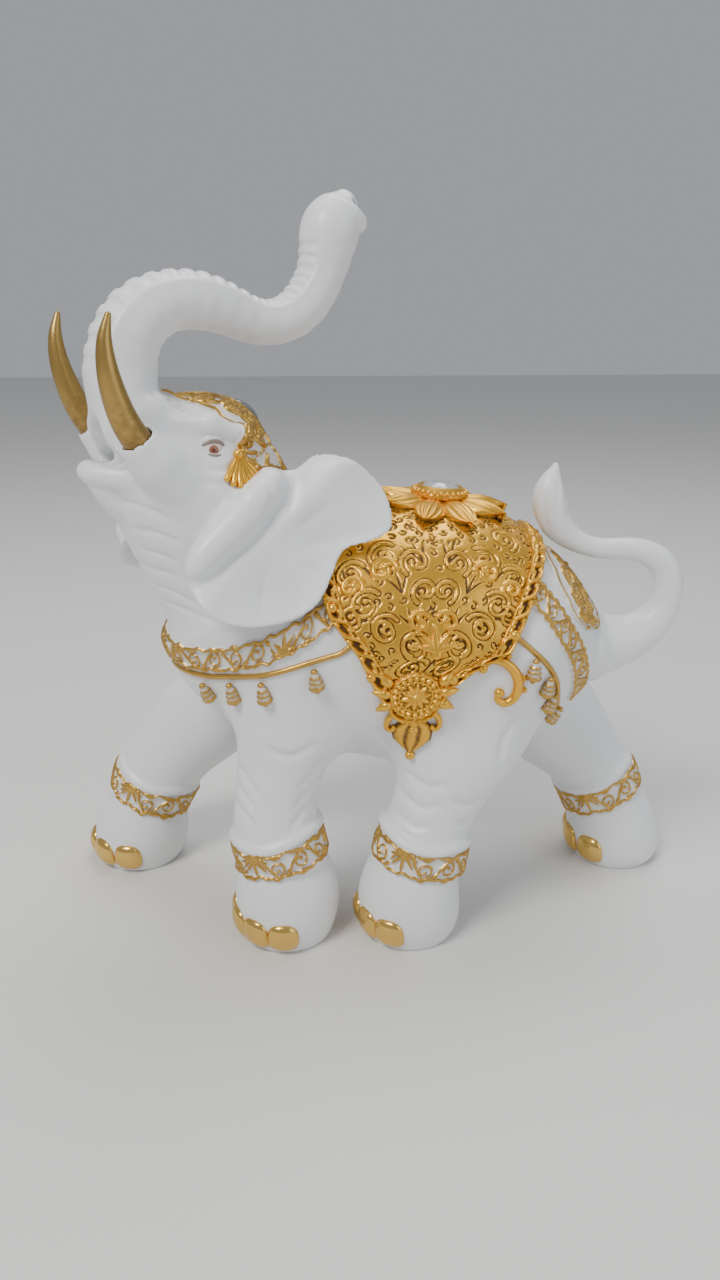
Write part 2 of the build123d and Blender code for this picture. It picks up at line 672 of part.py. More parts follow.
def tassels(spots, casting, *neighbours):
    """A ridged tassel at each spot on both flanks, cut to the skin and to its neighbours."""
    for hand in (1, -1):
        for x, z in spots:
            spot = skin_plane(casting, BODY_SIDE, x, z, hand).origin
            with BuildSketch(Plane(origin=spot, x_dir=BODY_SIDE.x_dir, z_dir=BODY_SIDE.z_dir)) as half:
                with BuildLine():
                    Polyline(*tassel_profile(), close=True)
                make_face()
            revolve(half.sketch, axis=Axis(spot, (0, 0, 1)))
    take_away(*casting, *neighbours)


def tassel_profile():
    """Half the outline of a tassel: three skirts, each wider than the one above."""
    step = TASSEL_HEIGHT / 6
    points = [(0, TASSEL_HEIGHT / 2)]
    for skirt in range(1, 4):
        reach = TASSEL_RADIUS * (0.4 + 0.2 * skirt)
        top = TASSEL_HEIGHT / 2 - skirt * 2 * step
        points += [(reach * 0.6, top + 1.4 * step), (reach, top + 0.4 * step)]
        points += [(reach * 0.9, top)] if skirt == 3 else []
    return points + [(0, -TASSEL_HEIGHT / 2)]


with BuildPart() as breast_tassels:
    tassels(BREAST_TASSELS, fore_casting, breast_collar, breast_strap)
write(breast_tassels, "breast_tassels")

with BuildPart() as rump_tassels:
    tassels(RUMP_TASSELS, hind_casting, rump_band, rump_strap, saddle_border)
write(rump_tassels, "rump_tassels")

# --- Flower, bezel and gem on the back ------------------------------------------------------
hub_plane = top_plane(saddle_cloth, BODY_SIDE, ROSETTE_X)
seat_plane = hub_plane.offset(PETAL_THICKNESS)
with BuildPart() as gem_bezel:
    extrude(oval(seat_plane, BEZEL_RADIUS, BEZEL_RADIUS), amount=BEZEL_HEIGHT)
    pocket_radius = GEM_RADIUS + GEM_CLEARANCE
    pocket = oval(seat_plane.offset(BEZEL_HEIGHT), pocket_radius, pocket_radius)
    extrude(pocket, amount=-GEM_DEPTH, mode=Mode.SUBTRACT)
write(gem_bezel, "gem_bezel")

with BuildPart() as saddle_rosette:
    hub = oval(hub_plane.offset(-PETAL_THICKNESS), BEZEL_RADIUS, BEZEL_RADIUS)
    extrude(hub, amount=2 * PETAL_THICKNESS)
    for index in range(PETAL_COUNT):
        turn = Location(hub_plane) * Location((0, 0, 0), (0, 0, 360 * index / PETAL_COUNT))
        petal_plane = Plane(turn * Location((PETAL_REACH, 0, 0), (0, PETAL_DROOP, 0)))
        petal = oval(petal_plane.offset(-PETAL_THICKNESS), PETAL_LENGTH / 2, PETAL_WIDTH / 2)
        extrude(petal, amount=2 * PETAL_THICKNESS - PETAL_STEP)
    take_away(barrel, saddle_cloth, saddle_border, gem_bezel)
write(saddle_rosette, "saddle_rosette")

gem_seat = seat_plane.offset(BEZEL_HEIGHT - GEM_DEPTH)
with BuildPart() as saddle_gem:
    extrude(oval(gem_seat, GEM_RADIUS, GEM_RADIUS), amount=GEM_DEPTH)
    with BuildSketch(gem_seat.offset(GEM_DEPTH)) as girdle:
        RegularPolygon(GEM_RADIUS, GEM_FACETS)
    extrude(girdle.sketch, amount=GEM_CROWN, taper=GEM_TAPER)
write(saddle_gem, "saddle_gem")

# --- Ornament over the rump -----------------------------------------------------------------
with BuildPart() as rump_crest:
    torso_loft(CREST_THICKNESS)
    wall(BODY_SIDE, CREST_OUTLINE)
    take_away(barrel, saddle_cloth, saddle_border, rump_band)
write(rump_crest, "rump_crest")

# --- Head plate, its gem and the temple pendants --------------------------------------------
with BuildPart() as head_plate:
    neck_loft(HEAD_PLATE_THICKNESS)
    wall(HEAD_SIDE, HEAD_PLATE_OUTLINE)
    take_away(skull, trunk)
write(head_plate, "head_plate")

brow_plane = top_plane(head_plate, HEAD_SIDE, FOREHEAD_X)
with BuildPart() as forehead_gem:
    dome(brow_plane, FOREHEAD_GEM_HEIGHT, FOREHEAD_GEM_RADIUS)
    take_away(head_plate, skull)
write(forehead_gem, "forehead_gem")

for side_name, hand in (("left", 1), ("right", -1)):
    temple_plane = skin_plane([skull], HEAD_SIDE, TEMPLE_X, TEMPLE_Z, hand)
    with BuildPart() as temple_pendant:
        dome(temple_plane, TEMPLE_THICKNESS, TEMPLE_RADIUS)
        take_away(skull, head_plate)
    write(temple_pendant, f"temple_pendant_{side_name}")
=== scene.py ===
from math import cos, pi, radians, sin, sqrt

import bpy
import numpy as np
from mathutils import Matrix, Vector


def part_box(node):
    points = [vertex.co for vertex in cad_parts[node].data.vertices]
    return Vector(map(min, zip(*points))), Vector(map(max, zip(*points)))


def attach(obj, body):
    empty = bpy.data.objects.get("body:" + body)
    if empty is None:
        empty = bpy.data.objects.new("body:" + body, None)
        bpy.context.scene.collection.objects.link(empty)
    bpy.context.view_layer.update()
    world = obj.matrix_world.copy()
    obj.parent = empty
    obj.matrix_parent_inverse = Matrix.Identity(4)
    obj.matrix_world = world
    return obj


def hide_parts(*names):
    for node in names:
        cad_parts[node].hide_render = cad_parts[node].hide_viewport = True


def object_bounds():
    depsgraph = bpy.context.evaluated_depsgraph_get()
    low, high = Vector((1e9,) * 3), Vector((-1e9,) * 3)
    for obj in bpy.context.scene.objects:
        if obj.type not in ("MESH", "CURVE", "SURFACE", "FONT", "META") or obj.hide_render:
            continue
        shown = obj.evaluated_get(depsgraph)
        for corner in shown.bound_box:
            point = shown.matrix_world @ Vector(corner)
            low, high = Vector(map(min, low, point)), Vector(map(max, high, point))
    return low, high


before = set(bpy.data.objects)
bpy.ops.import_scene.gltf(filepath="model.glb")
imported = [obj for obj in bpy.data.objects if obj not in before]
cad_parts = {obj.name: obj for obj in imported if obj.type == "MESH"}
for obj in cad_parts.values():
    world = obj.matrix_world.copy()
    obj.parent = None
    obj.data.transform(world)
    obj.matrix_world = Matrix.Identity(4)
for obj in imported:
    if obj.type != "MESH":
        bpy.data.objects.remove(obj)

import openvdb as vdb
from mathutils import Vector
from mathutils.bvhtree import BVHTree

# Everything is worked out in millimetres in the model's frame, and made in metres.
MM = 0.001
CAD_LOW, CAD_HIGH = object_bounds()

# --- The body datum and the turned head, as in the CAD ---------------------------------------
BODY = np.array([-7.9, -4.7, 0.0])
HEAD_TURN = radians(28)
NECK_X = -35.0
BACK = np.array([cos(HEAD_TURN), sin(HEAD_TURN), 0.0])      # backwards in the head's plane
LEFT = np.array([sin(HEAD_TURN), -cos(HEAD_TURN), 0.0])     # to the head's left
UP = np.array([0.0, 0.0, 1.0])
NECK = BODY + np.array([NECK_X, 0, 0])
TORSO_AXIS = 103.0      # height of the barrel's middle

# --- Body surface ----------------------------------------------------------------------------
VOXEL = 0.65
FIELD_REACH = 12.0      # how far each piece's distance field reaches
LIMB_BLEND = 9.0
NECK_BLEND = 12.0
TRUNK_BLEND = 6.0
EAR_BLEND = 4.0
SKIN_BLEND = 3.0


def body_point(x, z, out):
    """Point in the body's side view: x backwards, z up, out to the elephant's left."""
    return BODY + np.array([x, -out, z])


def head_point(x, z, out):
    """Point in the head's side view: x backwards, z up, out to the head's left."""
    return NECK + BACK * x + LEFT * out + UP * z


def unit(v):
    v = np.asarray(v, float)
    return v / max(np.linalg.norm(v), 1e-9)


def smooth_line(points, count):
    """Catmull-Rom curve through points, evenly spaced, ends included."""
    p = np.asarray(points, float)
    ends = np.vstack([2 * p[0] - p[1], p, 2 * p[-1] - p[-2]])
    out = []
    for i in range(1, len(ends) - 2):
        a, b, c, d = ends[i - 1], ends[i], ends[i + 1], ends[i + 2]
        for t in np.linspace(0, 1, 24, endpoint=False):
            out.append(0.5 * (2 * b + (c - a) * t + (2 * a - 5 * b + 4 * c - d) * t**2
                              + (3 * b - a - 3 * c + d) * t**3))
    out.append(p[-1])
    out = np.array(out)
    length = np.concatenate([[0], np.cumsum(np.linalg.norm(np.diff(out, axis=0), axis=1))])
    at = np.linspace(0, length[-1], count)
    return np.stack([np.interp(at, length, out[:, k]) for k in range(out.shape[1])], axis=1)


def line_length(points):
    return float(np.linalg.norm(np.diff(points, axis=0), axis=1).sum())


def ease(t):
    t = np.clip(t, 0, 1)
    return t * t * (3 - 2 * t)


# --- Distance fields -------------------------------------------------------------------------
low = np.array(CAD_LOW) / MM - 10
high = np.array(CAD_HIGH) / MM + 10
GRID_SHAPE = tuple(int(n) for n in np.ceil((high - low) / VOXEL))
GRID_START = tuple(int(n) for n in np.floor(low / VOXEL))
GRID = vdb.createLinearTransform(voxelSize=VOXEL)


def mesh_of(node):
    """Corner points in millimetres and triangles of a CAD node."""
    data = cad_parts[node].data
    data.calc_loop_triangles()
    co = np.zeros(len(data.vertices) * 3, np.float32)
    data.vertices.foreach_get("co", co)
    tri = np.zeros(len(data.loop_triangles) * 3, np.int32)
    data.loop_triangles.foreach_get("vertices", tri)
    return co.reshape(-1, 3) / MM, tri.reshape(-1, 3)


def field_of(points, triangles):
    """Signed distance of a closed mesh over the whole grid."""
    grid = vdb.FloatGrid.createLevelSetFromPolygons(
        np.ascontiguousarray(points, np.float32), triangles=triangles.astype(np.uint32),
        transform=GRID, halfWidth=FIELD_REACH / VOXEL)
    values = np.zeros(GRID_SHAPE, np.float32)
    grid.copyToArray(values, ijk=GRID_START)
    return values


def join(a, b, k):
    """Union of two fields with a fillet of about k."""
    h = np.maximum(k - np.abs(a - b), 0) / k
    return np.minimum(a, b) - h * h * k * 0.25


def window(field, a, b, reach):
    """The part of a field round a segment, and its grid points' places."""
    box_low = np.minimum(a, b) - reach
    box_high = np.maximum(a, b) + reach
    start = np.clip(np.floor(box_low / VOXEL).astype(int) - GRID_START, 0, GRID_SHAPE)
    stop = np.clip(np.ceil(box_high / VOXEL).astype(int) - GRID_START + 1, 0, GRID_SHAPE)
    part = tuple(slice(i, j) for i, j in zip(start, stop))
    axes = [(np.arange(i, j) + g) * VOXEL for i, j, g in zip(start, stop, GRID_START)]
    return part, np.stack(np.meshgrid(*axes, indexing="ij"), axis=-1).astype(np.float32)


def capsule(p, a, b, ra, rb):
    """Distance to a tapering rod."""
    ab = b - a
    t = np.clip(((p - a) @ ab) / max(ab @ ab, 1e-9), 0, 1)
    return np.linalg.norm(p - a - t[..., None] * ab, axis=-1) - (ra + (rb - ra) * t)


def add_rod(field, points, radii, k, sign=1):
    """Blend a chain of tapering rods into a field, or out of it where sign is -1."""
    for a, b, ra, rb in zip(points, points[1:], radii, radii[1:]):
        part, p = window(field, a, b, max(ra, rb) + 2 * k + 2)
        field[part] = sign * join(sign * field[part], capsule(p, a, b, ra, rb), k)


def cut_rod(field, points, radii, k):
    """Blend a chain of tapering rods out of a field."""
    add_rod(field, points, radii, k, sign=-1)


def polygons(field):
    """Points and faces of a field's surface."""
    grid = vdb.FloatGrid(FIELD_REACH)
    grid.transform = GRID
    grid.copyFromArray(field, ijk=GRID_START)
    points, tris, quads = grid.convertToPolygons(isovalue=0.0, adaptivity=0.0)
    return points.astype(np.float64), quads.tolist() + tris.tolist()


# --- Ears: one wavy two-lobed sheet on each side ---------------------------------------------
EAR_OUTLINE = [
    (-10, 166.7), (-1, 166), (7, 170.4), (15, 169), (23.5, 161), (26, 153.5), (24, 147.5),
    (17, 144.5), (9, 142), (2.5, 133), (-6, 124.7), (-16, 121.8), (-28, 123), (-36, 127.5),
    (-38.3, 136), (-33.5, 144), (-23, 151.2), (-14, 159.2),
]
EAR_MIDDLE = np.array([-12.0, 146.0])
EAR_ROOT = np.array([-23.0, 151.0])
EAR_BACK = np.array([0.62, -0.785])     # away from the root line, in the head's side view
EAR_SHEET = 2.7         # thickness


def ear_out(p):
    """How far the ear stands from the head's middle plane at a point of its side view."""
    behind = (p - EAR_ROOT) @ EAR_BACK
    along = (p - EAR_ROOT) @ np.array([0.785, 0.62])
    out = 27 + 8.5 * ease(behind / 10) + 6.5 * np.clip(behind / 30, 0, 2) ** 2
    return out + 0.9 * np.sin(along / 4.2 + 0.8) * ease((behind - 6) / 18)


def ear_mesh(hand):
    """Closed mesh of one ear."""
    turns = 144
    rim = smooth_line(EAR_OUTLINE + EAR_OUTLINE[:1], turns + 1)[:-1]
    rings = np.linspace(0.02, 1, 34)
    layers = []
    for face in (1, -1):
        for r in rings:
            p = EAR_MIDDLE + (rim - EAR_MIDDLE) * r
            half = EAR_SHEET / 2 * sqrt(max(1 - max(0, (r - 0.9) / 0.1) ** 2, 0.02))
            curl = 2.2 * max(0, (r - 0.62) / 0.38) ** 2 - 1.6 * (1 - r * r)
            out = ear_out(p) + curl * ease(((p - EAR_ROOT) @ EAR_BACK) / 8) + face * half
            layers.append([head_point(x, z, hand * o) for (x, z), o in zip(p, out)])
    points = np.array(layers).reshape(-1, 3)
    n = len(rings)
    tris = []
    for face in range(2):
        for i in range(n - 1):
            for j in range(turns):
                a = (face * n + i) * turns + j
                b = (face * n + i) * turns + (j + 1) % turns
                tris += [(a, b, b + turns), (a, b + turns, a + turns)]
    for j in range(turns):
        k = (j + 1) % turns
        a, b = (n - 1) * turns + j, (n - 1) * turns + k
        c, d = (2 * n - 1) * turns + j, (2 * n - 1) * turns + k
        tris += [(a, b, d), (a, d, c), (j, k, n * turns + k), (j, n * turns + k, n * turns + j)]
    for face in range(2):
        start = face * n * turns
        tris += [(start, start + j, start + j + 1) for j in range(1, turns - 1)]
    return points, np.array(tris)


# --- Lines of the body that relief follows ---------------------------------------------------
TRUNK_LINE = [
    (-42, 182.5, 11.5), (-43.8, 194, 10.5), (-41.5, 204, 10.0), (-35.5, 211.5, 9.3),
    (-26.5, 215.2, 8.4), (-16.8, 215.2, 8.0), (-7, 212.4, 7.2), (3, 209, 6.5),
    (13.5, 210.3, 6.7), (21.9, 217, 7.2), (26.7, 226, 7.6), (29.3, 236, 9.0),
    (33.5, 243.5, 6.6), (36.2, 247.5, 2.6),
]
TUSK_LINE = [
    (-36, 166, 18.5, 4.4), (-41.5, 170.5, 19.5, 4.7), (-46, 175.5, 20.5, 4.5),
    (-50.3, 182, 21.5, 4.2), (-53.3, 189.5, 22.5, 3.7), (-55.2, 197.5, 23.5, 3.0),
    (-55.5, 205, 24, 2.1), (-54, 212, 24.5, 0.8),
]
EYE_X, EYE_Z = -24.0, 174.0

LEGS = ("leg_front_left", "leg_front_right", "leg_hind_left", "leg_hind_right")
SIDES = (("left", 1), ("right", -1))
skin = field_of(*mesh_of("torso"))
for node in LEGS:
    skin = join(skin, field_of(*mesh_of(node)), LIMB_BLEND)
face = join(field_of(*mesh_of("head")), field_of(*mesh_of("trunk")), TRUNK_BLEND)
skin = join(skin, face, NECK_BLEND)
del face

# Muscles of the shoulder and haunch, and the full belly.
for hand in (1, -1):
    add_rod(skin, [body_point(-27, 112, hand * 28), body_point(-25, 84, hand * 27)], [9, 8], 14)
    add_rod(skin, [body_point(50, 104, hand * 24), body_point(40, 80, hand * 24)], [10, 8], 14)
# Brow, cheek, tusk sheath and lips.
EYE_AT = {hand: np.array(sum(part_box(f"eye_{side}"), Vector())) / 2 / MM for side, hand in SIDES}
for hand in (1, -1):
    add_rod(skin, [EYE_AT[hand] - LEFT * hand * 2, EYE_AT[hand]], [4.0, 4.0], 1)     # fill the socket
    add_rod(skin, [head_point(-31, 181, hand * 15), head_point(-24, 180.5, hand * 19.5),
                   head_point(-16, 177.5, hand * 21)], [2.4, 2.8, 2.2], SKIN_BLEND)
    add_rod(skin, [head_point(-20, 158, hand * 22), head_point(-33, 163, hand * 17)],
            [5, 5.5], 8)
    sheath = [head_point(x, z, hand * out) for x, z, out, _ in TUSK_LINE[:4]]
    add_rod(skin, [head_point(-28, 161, hand * 16.5)] + sheath[:3], [6.2, 6.8, 6.8, 5.9], 4)
    cut_rod(skin, sheath[2:4], [4.9, 4.6], 0.8)
    add_rod(skin, [head_point(-37, 182, hand * 9), head_point(-44, 176, hand * 12)], [5, 3.5], 5)
# The mouth, open above the lower lip.
cut_rod(skin, [head_point(-43, 170, 0), head_point(-52, 174, 0), head_point(-60, 178, 0)],
        [4.5, 6.5, 8], 2)
for hand in (1, -1):
    cut_rod(skin, [head_point(-40, 165.5, hand * 13), head_point(-47, 168.5, hand * 9),
                   head_point(-56, 173, hand * 4)], [1.6, 3.2, 4.5], 1.5)
lip = smooth_line([head_point(-44, 163.5, 12), head_point(-51, 165, 8), head_point(-56.5, 166.5, 0),
                   head_point(-51, 165, -8), head_point(-44, 163.5, -12)], 12)
add_rod(skin, list(lip), [2.0] * 12, SKIN_BLEND)

# Ornament lies on the body below the ears.
core_points, core_faces = polygons(skin)
core = BVHTree.FromPolygons([Vector(v) for v in core_points], core_faces)
del core_points, core_faces
skin = join(skin, field_of(*mesh_of("tail")), TRUNK_BLEND)

for hand in (1, -1):
    skin = join(skin, field_of(*ear_mesh(hand)), EAR_BLEND)
    fold = smooth_line([head_point(x, z, hand * o) for x, z, o in (
        (-37, 139.5, 31.5), (-30, 146, 31), (-22, 152, 31), (-13.8, 159.2, 31), (-8, 164, 30))], 14)
    add_rod(skin, list(fold), list(np.linspace(1.3, 2.5, 7)) + list(np.linspace(2.5, 1.4, 7)), 6)

# The trunk's finger and rim, and its two nostrils.
tip = [head_point(x, z, 0) for x, z, _ in TRUNK_LINE[-3:]]
along = unit(tip[1] - tip[0])
inner = unit(np.cross(LEFT, along)) * -1
rim_middle = tip[0] + along * 7.5 + inner * 1.5
rim = [rim_middle + 6.4 * (cos(a) * LEFT + sin(a) * inner) for a in np.linspace(0, 2 * pi, 17)]
add_rod(skin, rim, [2.0] * 17, 1.5)
for hand in (1, -1):
    cut_rod(skin, [rim_middle + along * 3 + LEFT * hand * 2.6,
                   rim_middle - along * 3 + LEFT * hand * 2.4], [2.0, 1.4], 1)

# Raised lip of skin above each anklet: two points of the leg's middle, its side and its radius.
ANKLES = {
    "front_left": ((-29, 30, 25), (-31, 41, 25), 1, 15.0),
    "front_right": ((-83, 27, 31), (-79, 37, 30), -1, 15.0),
    "hind_left": ((19, 28, 27), (21, 38, 27), 1, 15.3),
    "hind_right": ((100, 27, 20), (95, 38, 20), -1, 15.0),
}


def ankle_axes(lower, upper, hand):
    """Middle of an anklet's lower edge, and the directions up the leg and across it."""
    start = body_point(lower[0], lower[1], hand * lower[2])
    axis = unit(body_point(upper[0], upper[1], hand * upper[2]) - start)
    side = unit(np.cross(axis, [0.3, 1, 0]))
    return start, axis, side, np.cross(axis, side)


for lower, upper, hand, radius in ANKLES.values():
    start, axis, side, front = ankle_axes(lower, upper, hand)
    ring = [start + axis * (11.8 + 0.8 * sin(3 * t)) + (radius - 0.2) * (cos(t) * side + sin(t) * front)
            for t in np.linspace(0, 2 * pi, 37)]
    add_rod(skin, ring, [1.5] * 37, 1.6)

verts, body_faces = polygons(skin)
del skin


def largest_part(points, faces):
    """Drop loose islands, which are cavities inside the body."""
    parent = np.arange(len(points))
    edges = np.array([(f[i], f[i - 1]) for f in faces for i in range(len(f))])
    while True:
        least = np.minimum(parent[edges[:, 0]], parent[edges[:, 1]])
        after = parent.copy()
        np.minimum.at(after, edges[:, 0], least)
        np.minimum.at(after, edges[:, 1], least)
        after = after[after]
        if (after == parent).all():
            break
        parent = after
    keep = parent == np.bincount(parent).argmax()
    index = np.cumsum(keep) - 1
    return points[keep], [tuple(index[i] for i in f) for f in faces if keep[f[0]]]


verts, body_faces = largest_part(verts, body_faces)


def normals_of(points, faces):
    quads = np.array([f if len(f) == 4 else f + (f[-1],) for f in faces])
    a, b, c, d = (points[quads[:, k]] for k in range(4))
    flat = np.cross(c - a, d - b)
    out = np.zeros_like(points)
    for k in range(4):
        np.add.at(out, quads[:, k], flat)
    return out / np.maximum(np.linalg.norm(out, axis=1, keepdims=True), 1e-9)


normals = normals_of(verts, body_faces)
if (normals * (verts - verts.mean(0))).sum() < 0:
    body_faces = [tuple(reversed(f)) for f in body_faces]
    normals = -normals

# --- Creases of the skin ---------------------------------------------------------------------
def groove(points, lines, width, depth):
    """Push a mesh's points in along lines, with a soft rounded section."""
    for line in lines:
        box = (points > line.min(0) - 2.5 * width).all(1) & (points < line.max(0) + 2.5 * width).all(1)
        near = np.nonzero(box)[0]
        if not len(near):
            continue
        gap = np.linalg.norm(points[near][:, None, :] - line[None, :, :], axis=2)
        closest, at = gap.min(1), gap.argmin(1)
        fade = np.minimum(1, np.minimum(at, len(line) - 1 - at) / (0.22 * len(line)) + 0.15)
        press = depth * fade * np.exp(-((closest / width) ** 2))
        points[near] -= normals[near] * press[:, None]


whole = BVHTree.FromPolygons([Vector(v) for v in verts], body_faces)


def cast(middle, away, start, miss, tree=core):
    """Skin point and normal met from start out along away, or else a point that is miss out."""
    hit, normal, _, _ = tree.ray_cast(Vector(middle + away * start), Vector(-away))
    if hit is None:
        return middle + away * miss, away
    return np.array(hit), np.array(normal)


def flank(x, z, hand, plane=body_point, tree=core):
    """Point and normal of the skin, seen square from one side of the body or head."""
    middle = plane(x, z, 0)
    return cast(middle, unit(plane(x, z, hand * 90) - middle), 90, 0, tree)


def over(x, turn):
    """Point and normal of the skin round the barrel: turn is 0 at the left flank and pi/2 on top."""
    away = unit(body_point(0, 0, cos(turn)) - BODY + UP * sin(turn))
    return cast(body_point(x, TORSO_AXIS, 0), away, 70, 30)


def on_flank(points, hand, plane=body_point, count=30, tree=core):
    """A line given in the side view, laid on the skin."""
    return np.array([flank(x, z, hand, plane, tree)[0] for x, z in smooth_line(points, count)])


KNEE_FOLDS = [
    [(-45, 67), (-40, 64), (-36, 58)], [(-46, 60), (-41, 57.5), (-37.5, 53)],
    [(-45.5, 53), (-41, 51), (-38, 47.5)], [(-12, 72), (-18, 68), (-23, 61)],
    [(-14, 63), (-20, 60), (-25, 54)], [(-17, 55), (-22, 52.5), (-26, 47.5)],
    [(-34, 78), (-26, 75), (-17, 79)],
    [(13, 65), (20, 62), (27, 64)], [(11, 57), (18, 54), (25, 56)], [(9.5, 49.5), (16, 47), (22, 48.5)],
    [(38, 56), (33, 55), (28, 58)], [(39, 48), (34, 47), (30, 49)],
    [(52, 88), (46, 80), (44, 70)], [(2, 84), (8, 76), (10, 68)],
]
FAR_FOLDS = [
    [(-86, 47), (-80, 50), (-73, 56)], [(-80, 53), (-74, 58), (-68, 64)],
    [(-66, 44), (-61, 48), (-58, 54)], [(72, 72), (66, 66), (62, 58)], [(82, 60), (76, 55), (72, 48)],
    [(95, 52), (89, 55), (82, 61)], [(88, 57), (82, 62), (76, 68)],
]
THROAT_FOLDS = [
    [(-52, 158), (-46, 157), (-38, 153)], [(-47, 149), (-42, 148.5), (-36, 145.5)],
    [(-44, 142), (-40, 141), (-36, 139)], [(-42.5, 135.5), (-39, 135), (-36, 134)],
    [(-39.5, 129), (-36, 128), (-30, 124)], [(-37.5, 123.5), (-33, 122), (-26, 118.5)],
]
FACE_FOLDS = [
    [(-37, 186), (-33, 183.5), (-28, 183.5)], [(-39, 190), (-35, 187.5), (-30, 187)],
    [(-28, 168.5), (-22, 167.5), (-17, 170)], [(-30, 165), (-23, 163.5), (-16, 166.5)],
    [(-14, 176), (-11, 173), (-11, 169)],
]
folds = [on_flank(line, 1) for line in KNEE_FOLDS]
folds += [on_flank(line, -1) for line in FAR_FOLDS]
groove(verts, folds, 1.5, 1.0)
throat = [on_flank(line, hand, head_point) for line in THROAT_FOLDS for hand in (1, -1)]
throat += [on_flank(line, hand, head_point) for line in FACE_FOLDS for hand in (1, -1)]
groove(verts, throat, 1.1, 0.7)
fringe = []
for hand in (1, -1):
    for k in range(9):
        a = radians(-150 + 34 * k)
        start = EAR_MIDDLE + 9 * np.array([cos(a), sin(a)])
        stop = EAR_MIDDLE + 22 * np.array([cos(a + 0.12), sin(a + 0.12)])
        fringe.append(on_flank([start, (start + stop) / 2 + 0.8, stop], hand, head_point, 16, whole))
groove(verts, fringe, 1.4, 0.45)

# Rungs and rails down the front of the trunk, and soft rings round the rest of it.
RUNG_GAP = 4.2
trunk_line = smooth_line(TRUNK_LINE, 160)
trunk_at = np.array([head_point(x, z, 0) for x, z, _ in trunk_line])
trunk_run = np.gradient(trunk_at, axis=0)
trunk_run /= np.linalg.norm(trunk_run, axis=1, keepdims=True)
trunk_front = np.cross(np.tile(LEFT, (len(trunk_run), 1)), trunk_run)
trunk_front *= np.sign((trunk_front[0] * -BACK).sum())
box = (verts > trunk_at.min(0) - 14).all(1) & (verts < trunk_at.max(0) + 14).all(1)
near = np.nonzero(box)[0]
gap = np.linalg.norm(verts[near][:, None, :] - trunk_at[None, :, :], axis=2)
step = gap.argmin(1)
close = gap.min(1) < trunk_line[step, 2] + 2.5
near, step = near[close], step[close]
offset = verts[near] - trunk_at[step]
sideways = offset @ LEFT
forwards = (offset * trunk_front[step]).sum(1)
angle = np.arctan2(sideways, forwards)
length = line_length(trunk_at) * step / (len(trunk_at) - 1) + (offset * trunk_run[step]).sum(1)
half = np.radians(46)
inside = ease((half - np.abs(angle)) / 0.12)
rung = np.cos(2 * pi * length / RUNG_GAP)
fade = ease((length - 10) / 10) * ease((line_length(trunk_at) - 16 - length) / 5)
rail = np.exp(-(((np.abs(angle) - half - 0.1) / 0.13) ** 2))
press = fade * (inside * (0.6 * ease(0.5 - rung) - 0.1) - 0.4 * rail)
ringed = ease((np.abs(angle) - half - 0.25) / 0.3) * fade
press += 0.18 * ringed * (0.5 + 0.5 * np.cos(2 * pi * length / (RUNG_GAP * 1.6) + 0.7 * np.sin(3 * angle)))
verts[near] -= normals[near] * press[:, None]
# Twisting grooves round the tail's tuft.
TAIL_TUFT = smooth_line([(71, 139.8), (66.6, 146.3), (65.2, 153.5), (66.3, 160)], 24)
TUFT_GROOVES = 7
for k in range(TUFT_GROOVES):
    a = k * 2 * pi / TUFT_GROOVES
    swirl = [body_point(x, z, 0)
             + 6 * sin(pi * t) * np.array([0.8 * cos(a + t), sin(a + t), 0.6 * cos(a + t)])
             for (x, z), t in zip(TAIL_TUFT, np.linspace(0.05, 0.95, len(TAIL_TUFT)))]
    groove(verts, [np.array(swirl)], 1.0, 0.6)
verts[:, 2] = np.maximum(verts[:, 2], 0.0)
normals = normals_of(verts, body_faces)


# --- Materials -------------------------------------------------------------------------------
def speckled(name, grain, detail):
    """A material with noise in the piece's own space and a colour ramp into its base colour."""
    mat = bpy.data.materials.new(name)
    mat.use_nodes = True
    nodes, links = mat.node_tree.nodes, mat.node_tree.links
    noise = nodes.new("ShaderNodeTexNoise")
    noise.inputs["Scale"].default_value = grain
    noise.inputs["Detail"].default_value = detail
    links.new(nodes.new("ShaderNodeTexCoord").outputs["Object"], noise.inputs["Vector"])
    ramp = nodes.new("ShaderNodeValToRGB")
    links.new(ramp.outputs["Color"], nodes["Principled BSDF"].inputs["Base Color"])
    return mat, nodes, links, noise, ramp


